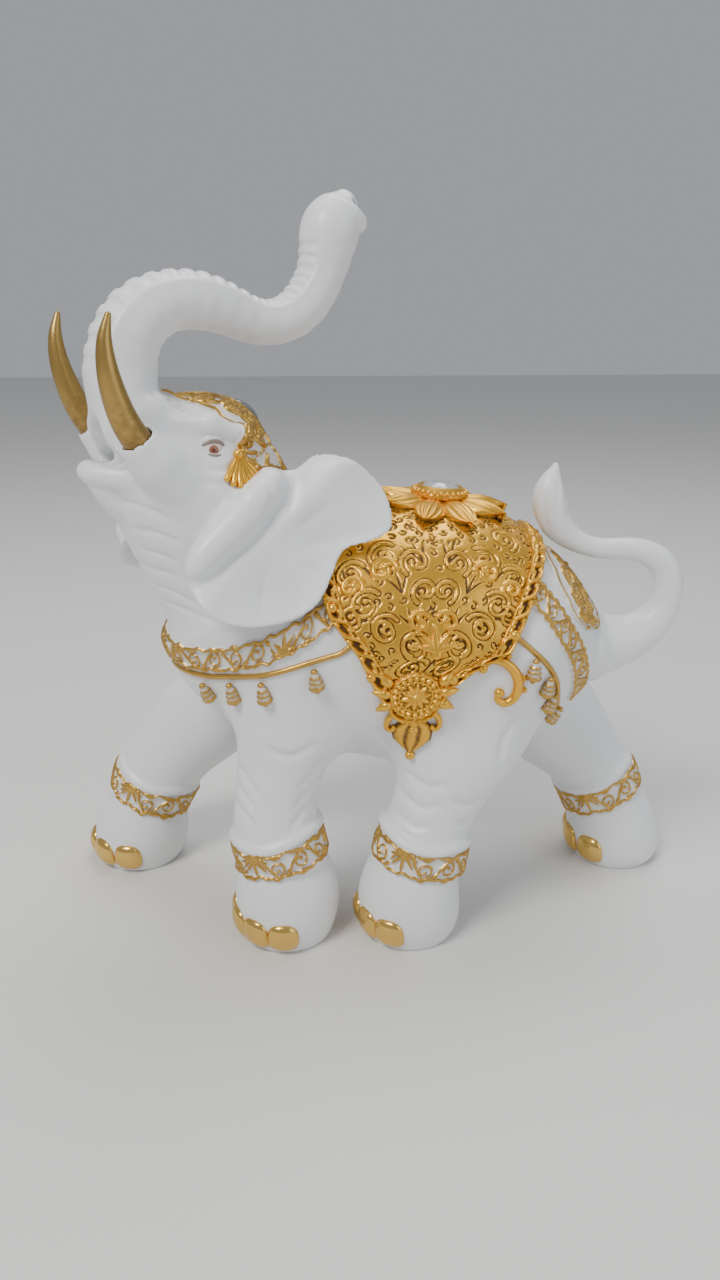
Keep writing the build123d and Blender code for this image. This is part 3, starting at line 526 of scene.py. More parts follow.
def paint(name, low_colour, high_colour, metallic, rough, edge=(0.25, 0.6), bump=0.0, grain=300.0):
    """Paint whose colour goes from recess to crest by the height attribute, with speckle."""
    mat, nodes, links, noise, ramp = speckled(name, grain, 6.0)
    shader = nodes["Principled BSDF"]
    height = nodes.new("ShaderNodeAttribute")
    height.attribute_name = "height"
    mix = nodes.new("ShaderNodeMath")
    mix.operation = "MULTIPLY_ADD"
    mix.inputs[1].default_value = 0.5
    mix.inputs[2].default_value = -0.25
    links.new(noise.outputs["Fac"], mix.inputs[0])
    total = nodes.new("ShaderNodeMath")
    total.operation = "ADD"
    links.new(height.outputs["Fac"], total.inputs[0])
    links.new(mix.outputs[0], total.inputs[1])
    for element, position, colour in zip(ramp.color_ramp.elements, edge, (low_colour, high_colour)):
        element.position, element.color = position, (*colour, 1)
    links.new(total.outputs[0], ramp.inputs["Fac"])
    for socket, (a, b) in (("Metallic", metallic), ("Roughness", rough)):
        span = nodes.new("ShaderNodeMapRange")
        span.inputs["From Min"].default_value, span.inputs["From Max"].default_value = edge
        span.inputs["To Min"].default_value, span.inputs["To Max"].default_value = a, b
        links.new(total.outputs[0], span.inputs["Value"])
        links.new(span.outputs["Result"], shader.inputs[socket])
    if bump:
        relief = nodes.new("ShaderNodeBump")
        relief.inputs["Strength"].default_value = bump
        relief.inputs["Distance"].default_value = 0.0002
        links.new(noise.outputs["Fac"], relief.inputs["Height"])
        links.new(relief.outputs["Normal"], shader.inputs["Normal"])
    return mat


WHITE = (0.78, 0.79, 0.80)
# Its low colour is painted shade, laid in the skin's hollows through the height attribute.
white_paint = paint("white_paint", (0.62, 0.60, 0.56), WHITE, (0, 0), (0.5, 0.36),
                    edge=(0.1, 0.55), bump=0.25, grain=260)
gold_paint = paint("antique_gold", (0.10, 0.045, 0.012), (0.80, 0.43, 0.045), (0.35, 0.82),
                   (0.55, 0.32), edge=(0.18, 0.6), bump=0.35, grain=900)
gilt_paint = paint("gilt_over_white", (0.74, 0.73, 0.70), (0.54, 0.32, 0.07), (0.0, 0.8),
                   (0.45, 0.33), edge=(0.3, 0.62), bump=0.35, grain=900)
nail_paint = paint("nail_gold", (0.42, 0.25, 0.07), (0.74, 0.48, 0.13), (0.8, 0.9), (0.32, 0.2),
                   bump=0.1, grain=400)
tusk_paint = paint("tusk_gold", (0.16, 0.09, 0.03), (0.42, 0.27, 0.08), (0.6, 0.85), (0.5, 0.34),
                   bump=0.3, grain=500)
eye_paint = paint("eye_paint", (0.012, 0.008, 0.006), (0.80, 0.62, 0.56), (0, 0), (0.08, 0.12),
                  edge=(0.35, 0.5), grain=60)
lid_paint = paint("lid_paint", (0.16, 0.13, 0.11), (0.30, 0.25, 0.22), (0, 0), (0.5, 0.45))

# The iris is red-brown round a black pupil.
iris = next(n for n in eye_paint.node_tree.nodes if n.type == "VALTORGB").color_ramp
iris.elements[0].position, iris.elements[0].color = 0.09, (0.01, 0.008, 0.008, 1)
iris.elements[1].position, iris.elements[1].color = 0.60, (0.82, 0.66, 0.61, 1)
for position, colour in ((0.13, (0.20, 0.06, 0.03, 1)), (0.26, (0.34, 0.13, 0.07, 1)),
                         (0.31, (0.10, 0.03, 0.02, 1)), (0.35, (0.80, 0.62, 0.56, 1))):
    iris.elements.new(position).color = colour


def stone(name, colour, rough, through, index):
    """A polished stone, a little darker in patches."""
    mat, nodes, links, noise, ramp = speckled(name, 120.0, 2.0)
    ramp.color_ramp.elements[0].color = tuple(c * 0.6 for c in colour) + (1,)
    ramp.color_ramp.elements[1].color = colour + (1,)
    links.new(noise.outputs["Fac"], ramp.inputs["Fac"])
    shader = nodes["Principled BSDF"]
    for socket, value in (("Roughness", rough), ("Transmission Weight", through), ("IOR", index),
                          ("Coat Weight", 0.6), ("Coat Roughness", 0.03)):
        shader.inputs[socket].default_value = value
    return mat


clear_stone = stone("clear_gem", (0.80, 0.83, 0.85), 0.06, 0.55, 1.6)
grey_stone = stone("grey_gem", (0.20, 0.21, 0.23), 0.08, 0.15, 1.5)


def make(name, points, faces, mat, nodes, height, smooth=True):
    """One finished piece from points in millimetres."""
    mesh = bpy.data.meshes.new(name)
    mesh.from_pydata([tuple(p) for p in np.asarray(points) * MM], [], faces)
    mesh.update()
    mesh.attributes.new("height", "FLOAT", "POINT").data.foreach_set(
        "value", np.asarray(height, np.float32))
    mesh.polygons.foreach_set("use_smooth", [smooth] * len(mesh.polygons))
    piece = bpy.data.objects.new(name, mesh)
    bpy.context.collection.objects.link(piece)
    mesh.materials.append(mat)
    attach(piece, "root")
    if nodes:
        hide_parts(*nodes)


# Painted shade in the hollows: the skin's paint is darker by how far each point lies below its neighbours'
# mean plane.
quads = np.array([f if len(f) == 4 else f + (f[-1],) for f in body_faces])
bent = np.zeros(len(verts))
count = np.zeros(len(verts))
for k in range(4):
    a, b = quads[:, k], quads[:, (k + 1) % 4]
    slope = ((verts[b] - verts[a]) * normals[a]).sum(1)
    np.add.at(bent, a, slope)
    np.add.at(count, a, 1)
painted_hollow_shade = np.clip(1 - 2.2 * np.maximum(bent / np.maximum(count, 1), 0) / VOXEL, 0, 1)
make("elephant_skin", verts, body_faces, white_paint,
     ("torso", "head", "trunk", "tail", "ear_left", "ear_right", *LEGS), painted_hollow_shade)


# --- Carved patterns -------------------------------------------------------------------------
class Carving:
    """A height map over a flat pattern in millimetres, built from strokes, beads and leaves."""

    def __init__(self, start, stop, pixel=0.1):
        self.start, self.pixel = np.array(start, float), pixel
        shape = np.ceil((np.array(stop, float) - self.start) / pixel).astype(int) + 1
        self.raised = np.zeros(shape, np.float32)
        self.sunk = np.zeros(shape, np.float32)

    def _dab(self, layer, x, y, radius, height):
        i, j = ((np.array([x, y]) - self.start) / self.pixel).astype(int)
        n = int(radius / self.pixel) + 2
        i0, i1 = max(i - n, 0), min(i + n + 1, layer.shape[0])
        j0, j1 = max(j - n, 0), min(j + n + 1, layer.shape[1])
        if i0 >= i1 or j0 >= j1:
            return
        dx = (np.arange(i0, i1) * self.pixel + self.start[0] - x) / radius
        dy = (np.arange(j0, j1) * self.pixel + self.start[1] - y) / radius
        dab = height * np.sqrt(np.maximum(1 - dx[:, None] ** 2 - dy[None, :] ** 2, 0))
        part = layer[i0:i1, j0:j1]
        np.maximum(part, dab, out=part)

    def bead(self, x, y, radius, height):
        self._dab(self.raised, x, y, radius, height)

    def stroke(self, points, radii, height, cut=False):
        """A rounded stroke whose radius follows radii along it."""
        count = max(int(line_length(np.asarray(points, float)) / 0.22), 3)
        line = smooth_line(points, count)
        radii = np.interp(np.linspace(0, 1, count), np.linspace(0, 1, len(radii)), radii)
        for (x, y), radius in zip(line, radii):
            self._dab(self.sunk if cut else self.raised, x, y, radius, height)

    def scroll(self, x, y, size, heading, hand, radius, height, turns=1.15, cut=False):
        """A spiral that leaves a point along a heading and curls in to a ball."""
        t = np.linspace(0, 1, 26)
        centre = np.array([x, y]) + size * np.array([-sin(heading), cos(heading)]) * hand
        turn = heading - hand * pi / 2 + hand * 2 * pi * turns * t
        reach = size * (1 - 0.72 * t)
        points = centre + reach[:, None] * np.stack([np.cos(turn), np.sin(turn)], axis=1)
        self.stroke(points, (radius, radius, radius * 0.7), height, cut)
        self._dab(self.sunk if cut else self.raised, *points[-1], radius * 1.45, height * 1.1)

    def leaf(self, x, y, heading, length, width, height, bend=0.0):
        """A pointed leaf with a cut midrib."""
        t = np.linspace(0, 1, 9)
        turn = heading + bend * t
        run = np.stack([np.cos(turn), np.sin(turn)], axis=1) * length / 8
        points = np.array([x, y]) + np.cumsum(np.vstack([[0, 0], run[:-1]]), axis=0)
        self.stroke(points, width / 2 * np.array([0.3, 0.8, 1, 0.9, 0.6, 0.15]), height)
        self.stroke(points[1:8], (0.25, 0.35, 0.2), height * 0.55, cut=True)

    def fan(self, x, y, heading, count, spread, length, width, height):
        """A palmette of leaves, the middle one longest."""
        for off in (np.linspace(0, 1, count) - 0.5) * spread:
            self.leaf(x, y, heading + off, length * (1 - 0.6 * abs(off) / spread), width, height,
                      bend=0.35 * off)

    def at(self, x, y):
        """Height at pattern points."""
        whole = np.where(self.raised > 0.12, self.raised, -self.sunk)
        i = np.clip((np.asarray(x) - self.start[0]) / self.pixel, 0, whole.shape[0] - 1.001)
        j = np.clip((np.asarray(y) - self.start[1]) / self.pixel, 0, whole.shape[1] - 1.001)
        i0, j0 = i.astype(int), j.astype(int)
        fi, fj = i - i0, j - j0
        return ((whole[i0, j0] * (1 - fi) + whole[i0 + 1, j0] * fi) * (1 - fj)
                + (whole[i0, j0 + 1] * (1 - fi) + whole[i0 + 1, j0 + 1] * fi) * fj)


RELIEF = 1.25           # height of the filigree


def frieze(length, width, cells, rail, palmette=0):
    """Openwork of running scrolls and leaves between two wavy rails."""
    c = Carving((-2, -1), (length + 2, width + 1))
    pitch, middle = length / cells, width / 2
    t = np.linspace(-1, length + 1, int(length * 2))
    for y, flip in ((rail, 1), (width - rail, -1)):
        wave = y + flip * 0.3 * (1 + np.sin(4 * pi * t / pitch))
        c.stroke(np.stack([t, wave], axis=1), (rail, rail), RELIEF)
    inner = width / 2 - 1.9 * rail
    size = min(pitch * 0.36, inner * 0.86)
    for k in range(cells):
        x, flip = (k + 0.5) * pitch, 1 if k % 2 else -1
        root, top = middle - flip * inner * 0.9, middle + flip * inner * 0.9
        if palmette and k % palmette == palmette // 2:
            c.fan(x, root, flip * pi / 2, 5, 2.3, inner * 1.9, 1.7, RELIEF)
            c.bead(x, root, rail, RELIEF * 1.2)
            for side in (1, -1):
                c.stroke([(x + side * 0.7, root), (x + side * pitch * 0.3, root + flip * 0.6),
                          (x + side * pitch * 0.5, middle)], (0.5, 0.6, 0.4), RELIEF)
            continue
        c.stroke([(x - pitch * 0.6, top), (x - pitch * 0.42, middle), (x - pitch * 0.1, root)],
                 (0.45, 0.6, 0.6), RELIEF)
        c.scroll(x - pitch * 0.1, root, size, 0.0, flip, rail * 0.72, RELIEF, turns=1.1)
        c.leaf(x + pitch * 0.25, root, flip * 0.7, pitch * 0.34, 1.5, RELIEF, bend=flip * 0.4)
        c.leaf(x - pitch * 0.2, top, -flip * 0.1, pitch * 0.36, 1.4, RELIEF)
    return c


def relief(carving, along, across):
    """The raised part of a carving over the rows and columns of a grid."""
    return np.maximum(carving.at(along[:, None], across[None, :]), 0)


def mirrored(heading, flip):
    """A heading of a pattern's right half, or its mirror image where flip is -1."""
    return heading if flip == 1 else pi - heading


def ring_faces(rings, sides):
    """Faces between rings of points that follow each other."""
    pairs = [(i * sides + j, i * sides + (j + 1) % sides) for i in range(rings - 1) for j in range(sides)]
    return [(a, b, b + sides, a + sides) for a, b in pairs]


class Heap:
    """Points, faces and heights of one piece, gathered from several parts."""

    def __init__(self):
        self.points, self.faces, self.heights = [], [], []

    def add(self, points, faces, heights):
        start = sum(len(p) for p in self.points)
        self.points.append(np.asarray(points, float))
        self.faces += [tuple(int(i) + start for i in f) for f in faces]
        self.heights.append(np.broadcast_to(np.asarray(heights, float), (len(points),)))

    def patch(self, base, normal, lift, height, sink=0.8, loop=False):
        """A closed relief over a grid of skin points, raised by lift and sunk a little below."""
        n, m = lift.shape
        top = base + normal * lift[..., None]
        points = np.concatenate([top.reshape(-1, 3), (base - normal * sink).reshape(-1, 3)])
        under = n * m
        rows = range(n if loop else n - 1)
        faces = []
        for i in rows:
            for j in range(m - 1):
                a, b = i * m + j, (i + 1) % n * m + j
                faces += [(a, b, b + 1, a + 1), (a + under, a + 1 + under, b + 1 + under, b + under)]
        walls = [((i + 1) % n * m, i * m) for i in rows]
        walls += [(i * m + m - 1, (i + 1) % n * m + m - 1) for i in rows]
        if not loop:
            walls += [(j, j + 1) for j in range(m - 1)]
            walls += [((n - 1) * m + j + 1, (n - 1) * m + j) for j in range(m - 1)]
        faces += [(a, b, b + under, a + under) for a, b in walls]
        # Face the relief outwards whichever way the grid runs.
        if np.cross(top[1, 0] - top[0, 0], top[0, 1] - top[0, 0]) @ normal[0, 0] < 0:
            faces = [f[::-1] for f in faces]
        self.add(points, faces, np.concatenate([height.reshape(-1), np.zeros(under)]))

    def tube(self, points, radii, sides=8, height=1.0):
        """A round tube along a line, closed by rounded ends."""
        points, radii = np.asarray(points, float), np.atleast_1d(radii)
        n = len(points)
        radii = np.interp(np.linspace(0, 1, n), np.linspace(0, 1, len(radii)), radii)
        run = np.gradient(points, axis=0)
        run /= np.maximum(np.linalg.norm(run, axis=1, keepdims=True), 1e-9)
        upright = abs(run[0] @ UP) >= 0.95
        side = unit(np.cross(run[0], [1, 0, 0.01] if upright else UP + 0.01))
        rings = []
        for p, d, r in zip(points, run, radii):
            side = unit(side - d * (side @ d))
            other = np.cross(d, side)
            rings += [p + r * (cos(a) * side + sin(a) * other)
                      for a in np.linspace(0, 2 * pi, sides, endpoint=False)]
        ends = [points[0] - run[0] * radii[0] * 0.5, points[-1] + run[-1] * radii[-1] * 0.5]
        faces, last = ring_faces(n, sides), n * sides
        for j in range(sides):
            k = (j + 1) % sides
            faces += [(last, k, j), (last + 1, (n - 1) * sides + j, (n - 1) * sides + k)]
        self.add(np.vstack([rings, ends]), faces, height)

    def ball(self, centre, radius, axis=UP, height=1.0, stretch=1.0, rings=8, sides=14):
        """A ball, stretched along its axis."""
        axis = unit(axis)
        side = unit(np.cross(axis, [0.31, 0.93, 0.2]))
        other = np.cross(axis, side)
        points, faces = [centre + axis * radius * stretch], []
        for i in range(1, rings):
            lat = pi * i / rings
            for j in range(sides):
                a = 2 * pi * j / sides
                points.append(centre + axis * radius * stretch * cos(lat)
                              + radius * sin(lat) * (cos(a) * side + sin(a) * other))
        points.append(centre - axis * radius * stretch)
        last = len(points) - 1
        for j in range(sides):
            k = (j + 1) % sides
            faces += [(0, 1 + j, 1 + k), (last, last - sides + k, last - sides + j)]
            for i in range(rings - 2):
                a, b = 1 + i * sides + j, 1 + i * sides + k
                faces.append((a, a + sides, b + sides, b))
        self.add(points, faces, height)

    def turned(self, centre, axis, profile, tones=None, sides=20, flutes=0, depth=0.0):
        """A lathe-turned shape: profile gives distance along the axis and radius."""
        axis = unit(axis)
        side = unit(np.cross(axis, [0.31, 0.93, 0.2]))
        other = np.cross(axis, side)
        points = []
        for along, radius in profile:
            for a in 2 * pi * np.arange(sides) / sides:
                r = radius * (1 + depth * cos(flutes * a))
                points.append(centre + axis * along + r * (cos(a) * side + sin(a) * other))
        last = (len(profile) - 1) * sides
        faces = ring_faces(len(profile), sides)
        faces += [tuple(reversed(range(sides))), tuple(range(last, last + sides))]
        self.add(points, faces, 1.0 if tones is None else np.repeat(tones, sides))

    def build(self, name, mat, slot, replaces=True, smooth=True):
        """Make the piece, in place of the CAD node of the same name if there is one."""
        make(name, np.concatenate(self.points), self.faces, mat, (name,) if replaces else (),
             np.concatenate(self.heights), smooth)


def skin_grid(rows, columns, spot):
    """Points and normals of spot(row, column) over a grid."""
    found = np.array([[spot(row, column) for column in columns] for row in rows])
    return found[:, :, 0], found[:, :, 1]


def raised_line(points, count, hand, rise, plane=body_point):
    """A line given in the side view, laid on the skin and raised off it."""
    on_skin = [flank(x, z, hand, plane) for x, z in smooth_line(points, count)]
    return [point + normal * rise for point, normal in on_skin]


def band_grid(line, width, hand, steps, across):
    """Grid of skin points along a band given in the side view."""
    middle = smooth_line(line, steps)
    run = np.gradient(middle, axis=0)
    run /= np.linalg.norm(run, axis=1, keepdims=True)
    side = np.stack([-run[:, 1], run[:, 0]], axis=1)
    return skin_grid(range(steps), np.linspace(-width / 2, width / 2, across),
                     lambda i, v: flank(*(middle[i] + side[i] * v), hand))


def arc_lengths(base):
    """Length along the middle column of a grid."""
    middle = base[:, base.shape[1] // 2]
    return np.concatenate([[0], np.cumsum(np.linalg.norm(np.diff(middle, axis=0), axis=1))])


# --- Anklets ---------------------------------------------------------------------------------
ANKLET_WIDTH = 10.5
ANKLET_CELLS = 12
for foot, (lower, upper, hand, radius) in ANKLES.items():
    start, axis, side, front = ankle_axes(lower, upper, hand)

    def ankle_spot(t, v):
        """Skin point round an ankle: t is the angle round it, and v how far up it lies."""
        away = cos(t) * side + sin(t) * front
        return cast(start + axis * (v + 0.45 * sin(10 * t)), away, 24, radius)[0], away

    steps, across = 300, 44
    base, normal = skin_grid(np.linspace(0, 2 * pi, steps, endpoint=False),
                             np.linspace(-0.2, ANKLET_WIDTH, across), ankle_spot)
    length = 2 * pi * (radius + 1)
    c = frieze(length, ANKLET_WIDTH, ANKLET_CELLS, rail=0.7, palmette=4)
    carved = relief(c, np.linspace(0, length, steps, endpoint=False), np.linspace(0, ANKLET_WIDTH, across))
    heap = Heap()
    heap.patch(base, normal, 0.35 + carved, carved / 1.1, loop=True)
    heap.build(f"anklet_{foot}", gilt_paint, "gilt_filigree")

# --- Toenails --------------------------------------------------------------------------------
# Middle of each foot (x and out), its side, and the degrees round it of its four nails.
FEET = {"front_left": (-28, 25, 1, (5, 39, 71, 104)), "front_right": (-88, 31, -1, (10, 47, 84, 118)),
        "hind_left": (16, 27, 1, (30, 62, 94, 126)), "hind_right": (106, 20, -1, (46, 84, 118, 150))}
NAIL_MIDDLE = 7.4       # height of a nail's middle
NAIL_CORNER = 2.8       # how square its outline is: 2 is round
for foot, (x, out, hand, turns) in FEET.items():
    heap = Heap()
    for turn in np.radians(turns):
        def nail_spot(a, r):
            """Skin point of a nail: a is the angle round its outline, and r how far out it lies."""
            corner = (abs(cos(a)) ** NAIL_CORNER + abs(sin(a)) ** NAIL_CORNER) ** (-1 / NAIL_CORNER)
            spin = turn + 5.6 * corner * r * cos(a) * (1 - 0.10 * sin(a)) / 18
            away = np.array([-sin(spin), -cos(spin), 0])
            height = max(NAIL_MIDDLE + 5.8 * corner * r * sin(a), 1.2)
            return cast(body_point(x, height, hand * out), away, 21, 17.5)[0], away

        r = np.linspace(0, 1, 22)
        base, normal = skin_grid(np.linspace(0, 2 * pi, 40, endpoint=False), r, nail_spot)
        dome = 0.15 + 2.1 * (1 - r**3.6) ** 0.6 * (0.8 + 0.2 * np.cos(pi * r / 2))
        lift = np.tile(dome, (40, 1))
        heap.patch(base, normal, lift, np.ones_like(lift), sink=0.6, loop=True)
    heap.build(f"toenails_{foot}", nail_paint, "nail_gold")

# --- Saddle cloth ----------------------------------------------------------------------------
FRONT_EDGE = [(86.5, 14.5), (89.5, 10), (99, 4), (110.5, -1.5), (122, -10.5), (141, -16), (165, -17)]
BACK_EDGE = [(86.5, 14.5), (90, 19), (99, 23.5), (105, 32), (109.5, 43), (122, 50), (135, 58), (165, 62)]


def edge_x(edge, z):
    return np.interp(z, [p[0] for p in edge], [p[1] for p in edge])


def saddle_spot(turn, place):
    """Skin point of the cloth: place gives x from the front and back edges' x."""
    x = 20.0
    for _ in range(4):
        height = over(x, turn)[0][2]
        x = place(edge_x(FRONT_EDGE, height), edge_x(BACK_EDGE, height))
    return over(x, turn)


CLOTH_LOW = -0.36       # where the cloth's lowest point lies, round the barrel
steps, across = 520, 190
base, normal = skin_grid(np.linspace(CLOTH_LOW, pi - CLOTH_LOW, steps), np.linspace(0.0, 1.0, across),
                         lambda turn, u: saddle_spot(turn, lambda f, b: f + u * (b - f)))
height_at = arc_lengths(base)
height_at = np.minimum(height_at, height_at[-1] - height_at)
width_at = np.linalg.norm(base[:, -1] - base[:, 0], axis=1)
p = (np.linspace(-0.5, 0.5, across)[None, :]) * width_at[:, None]
q = np.repeat(height_at[:, None], across, axis=1)
c = Carving((-45, -2), (45, height_at.max() + 2))
c.stroke([(0, 12), (0, 34)], (0.5, 0.35), 0.7, cut=True)
for flip in (1, -1):
    for x, y, size, turn, hand in (
            (1, 14, 3.2, 1.2, -1), (1.5, 22, 4.4, 1.0, -1), (3, 31, 5.2, 0.7, -1),
            (8, 25, 3.4, 0.2, 1), (11, 36, 5.0, 0.9, -1), (5, 41, 4.2, 0.5, 1),
            (16, 30, 3.4, 0.3, 1), (17, 44, 5.2, 0.8, -1), (9, 50, 5.0, 0.6, 1),
            (23, 40, 4.0, 0.4, -1), (22, 53, 5.0, 0.9, -1), (13, 60, 5.4, 0.6, -1), (26, 62, 5, 0.5, 1)):
        c.scroll(x * flip, y, size, mirrored(turn, flip), hand * flip, 1.05, 0.9, cut=True)
        c.scroll(x * flip, y, size, mirrored(turn, flip), hand * flip, 0.6, 0.55)
    for x, y, turn, long in ((2, 18, 0.5, 6), (6, 33, 1.3, 7), (13, 33, 0.4, 6), (10, 44, 1.2, 7),
                             (20, 36, 0.2, 6), (19, 49, 1.3, 7), (27, 47, 0.8, 6), (4, 54, 1.2, 8)):
        for off in (-0.5, 0, 0.5):
            ahead, aside = long * cos(turn + off), long * sin(turn + off)
            c.stroke([(x * flip, y), (flip * (x + 0.5 * ahead), y + 0.5 * aside + 0.4),
                      (flip * (x + ahead), y + aside)], (0.25, 0.42, 0.15), 0.7, cut=True)
    for x, y, size, turn, radius, height in ((1.5, 37, 3.4, 1.0, 0.8, 1.0), (12, 52, 4.2, 1.4, 0.95, 1.1),
                                             (22, 45, 3.6, 1.9, 0.9, 1.0)):
        c.scroll(x * flip, y, size, mirrored(turn, flip), -flip, radius, height)
# Small curls fill the ground between the scrolls.
for row in range(26):
    y = 12 + 2.9 * row
    for k in range(-12, 13):
        x = (k + 0.5 * (row % 2)) * 3.3
        i, j = ((np.array([x, y]) - c.start) / c.pixel).astype(int)
        if c.sunk[max(i - 9, 0):i + 10, max(j - 9, 0):j + 10].max(initial=0) > 0.1:
            continue
        turn = 0.9 * sin(1.7 * k + 2.3 * row) + (pi / 2 if row % 2 else 0.3)
        c.scroll(x, y, 1.25, turn, 1 if (k + row) % 2 else -1, 0.28, 0.75, turns=0.7, cut=True)
        c.stroke([(x, y), (x - 1.3 * cos(turn), y - 1.3 * sin(turn))], (0.28, 0.12), 0.7, cut=True)
c.fan(0, 26, pi / 2, 5, 2.2, 8.5, 2.3, 1.2)
c.bead(0, 25, 1.6, 1.4)
for k in range(5):
    c.bead(0, 9 + 1.9 * k, 0.8, 0.8)
carved = c.at(p, q)
heap = Heap()
crown = 0.5 * np.sin(np.linspace(0, pi, across))[None, :]
heap.patch(base, normal, 1.5 + crown + carved * 0.9, np.clip(0.62 + 0.9 * carved, 0, 1))
heap.build("saddle_cloth", gold_paint, "antique_gold")

# Its border: S-scrolls, balls and leaves along both edges, over the back from side to side.
heap = Heap()
BORDER = 5.4
steps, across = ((520, 16))
for place in (lambda v: lambda f, b: f - v, lambda v: lambda f, b: b + v):
    base, normal = skin_grid(np.linspace(CLOTH_LOW - 0.02, pi - CLOTH_LOW + 0.02, steps),
                             np.linspace(-0.6 * BORDER, 0.4 * BORDER, across),
                             lambda turn, v: saddle_spot(turn, place(v)))
    s = arc_lengths(base)
    cells = int(s[-1] / 6.5)
    c = Carving((-1, -1), (s[-1] + 1, BORDER + 1))
    pitch = s[-1] / cells
    for k in range(cells):
        x, flip = k * pitch, 1 if k % 2 else -1
        c.stroke([(x, 0.9), (x + pitch * 0.3, 1.0), (x + pitch * 0.62, BORDER - 1.3),
                  (x + pitch * 1.1, BORDER - 0.8)], (0.5, 1.05, 1.05, 0.5), 1.8)
        c.bead(x + pitch * 0.92, 1.5, 1.0, 1.7)
        c.bead(x + pitch * 0.25, BORDER - 1.2, 0.95, 1.5)
        c.leaf(x + pitch * 0.55, BORDER * 0.3, 0.2 * flip, pitch * 0.45, 1.3, 1.5)
    for y in (0.35, BORDER - 0.35):
        c.stroke([(0, y), (s[-1] / 2, y), (s[-1], y)], (0.45, 0.45), 1.1)
    carved = relief(c, s, np.linspace(0, BORDER, across))
    heap.patch(base, normal, 1.7 + carved, np.clip(0.12 + carved / 1.6, 0, 1))
for hand in (1, -1):
    for x, z, r in ((14.5, 85.0, 1.7), (26, 102.5, 1.8), (0.5, 104, 1.6), (46, 114.5, 1.8),
                    (-11, 124.5, 1.6)):
        point, n = flank(x, z, hand)
        heap.ball(point + n * 2.6, r, n, stretch=0.8, height=0.9)
heap.build("saddle_border", gold_paint, "antique_gold")

# --- Collar and straps round the chest -------------------------------------------------------
COLLAR_LINE = [(-80, 105), (-57, 105), (-45, 107), (-33, 111.5), (-21, 117.5), (-8, 126)]
STRAP_LINE = [(-80, 97.5), (-66, 97.5), (-50, 99.5), (-34, 103.5), (-20, 108), (-9, 111), (-4, 115)]


def chest_spot(turn, line, rise):
    """Skin point round the chest: turn is 0 at the front and +-pi/2 at the left and right."""
    z = 108.0
    away = np.array([-cos(turn), -sin(turn), 0])
    for _ in range(5):
        point, normal = cast(body_point(-14, z, 0), away, 75, 40)
        z = float(np.interp(point[0] - BODY[0], [p[0] for p in line], [p[1] for p in line])) + rise
    return point, normal


def lay_frieze(heap, base, normal, width, cells, rail, lift, palmette=0):
    """Openwork band of so many cells over a grid of skin points."""
    s = arc_lengths(base)
    c = frieze(s[-1], width, cells, rail, palmette)
    carved = relief(c, s, np.linspace(0, width, base.shape[1]))
    heap.patch(base, normal, lift + carved, carved / 1.1)


COLLAR_WIDTH = 9.4
heap = Heap()
collar_grid = skin_grid(
    np.linspace(-1.72, 1.72, 640), np.linspace(-COLLAR_WIDTH / 2, COLLAR_WIDTH / 2, 40),
    lambda turn, v: chest_spot(turn, COLLAR_LINE, v * (1 + 0.7 / COLLAR_WIDTH * sin(44 * turn))))
collar_cells = int(arc_lengths(collar_grid[0])[-1] / 8.5)
lay_frieze(heap, *collar_grid, COLLAR_WIDTH, collar_cells, rail=0.65, lift=0.3, palmette=7)
heap.build("breast_collar", gilt_paint, "gilt_filigree")

heap = Heap()
line = [chest_spot(turn, STRAP_LINE, 0) for turn in np.linspace(-1.82, 1.82, 240)]
line = np.array([point + n * 0.25 for point, n in line])
for _ in range(3):
    line[1:-1] = (line[:-2] + 2 * line[1:-1] + line[2:]) / 4
heap.tube(line, 0.95, height=0.75)
heap.build("breast_strap", gilt_paint, "gilt_filigree")


def tassel(heap, point, n, tilt=0.0, size=1.0):
    """A ridged bell tassel hanging down the skin."""
    down = unit(-UP - n * (-UP @ n) + np.array([tilt, 0, 0]))
    start = point + n * 1.5 - down * 4.2 * size
    profile = [(-0.4, 0.5), (0.3, 1.3), (1.0, 1.35), (1.5, 0.9), (2.0, 1.1), (3.0, 2.1), (3.5, 2.3),
               (3.7, 1.6), (4.6, 2.5), (5.3, 2.7), (5.5, 2.0), (6.6, 2.8), (7.6, 3.0), (8.3, 2.6),
               (8.6, 1.5)]
    tones = [0.9, 1, 0.9, 0.3, 0.35, 0.7, 0.9, 0.3, 0.6, 0.9, 0.3, 0.6, 0.85, 0.7, 0.3]
    heap.turned(start, down, [(a * size, r * size) for a, r in profile], tones, sides=36, flutes=12,
                depth=0.07)
    heap.ball(start + down * 9.2 * size, 0.95 * size, height=0.9)


BREAST_TASSELS = [(-52, 93.5), (-43, 95.5), (-33, 98), (-17, 103)]
RUMP_TASSELS = [(53, 103.5), (58.5, 96.5), (61, 89), (65, 81.5)]
for name, spots, tilt in (("breast_tassels", BREAST_TASSELS, 0.15), ("rump_tassels", RUMP_TASSELS, -0.1)):
    heap = Heap()
    for hand in (1, -1):
        for x, z in spots:
            tassel(heap, *flank(x, z, hand), tilt=tilt, size=0.82)
    heap.build(name, gilt_paint, "gilt_filigree")

# --- Bands over the haunch -------------------------------------------------------------------
RUMP_BAND = [(54, 127), (61, 118.5), (66, 111), (71, 102.5), (74, 93), (75, 84)]
RUMP_STRAP = [(46, 115), (52, 110), (58, 104), (62.5, 97), (64.5, 90), (66, 83)]
RUMP_BAND_WIDTH = 7.4
heap, strap_heap = Heap(), Heap()
for hand in (1, -1):
    base, normal = band_grid(RUMP_BAND, RUMP_BAND_WIDTH, hand, 190, 32)
    lay_frieze(heap, base, normal, RUMP_BAND_WIDTH, 8, rail=0.55, lift=0.35)
    strap_heap.tube(raised_line(RUMP_STRAP, 50, hand, 0.3), 0.95, height=0.75)
heap.build("rump_band", gilt_paint, "gilt_filigree")
strap_heap.build("rump_strap", gilt_paint, "gilt_filigree")

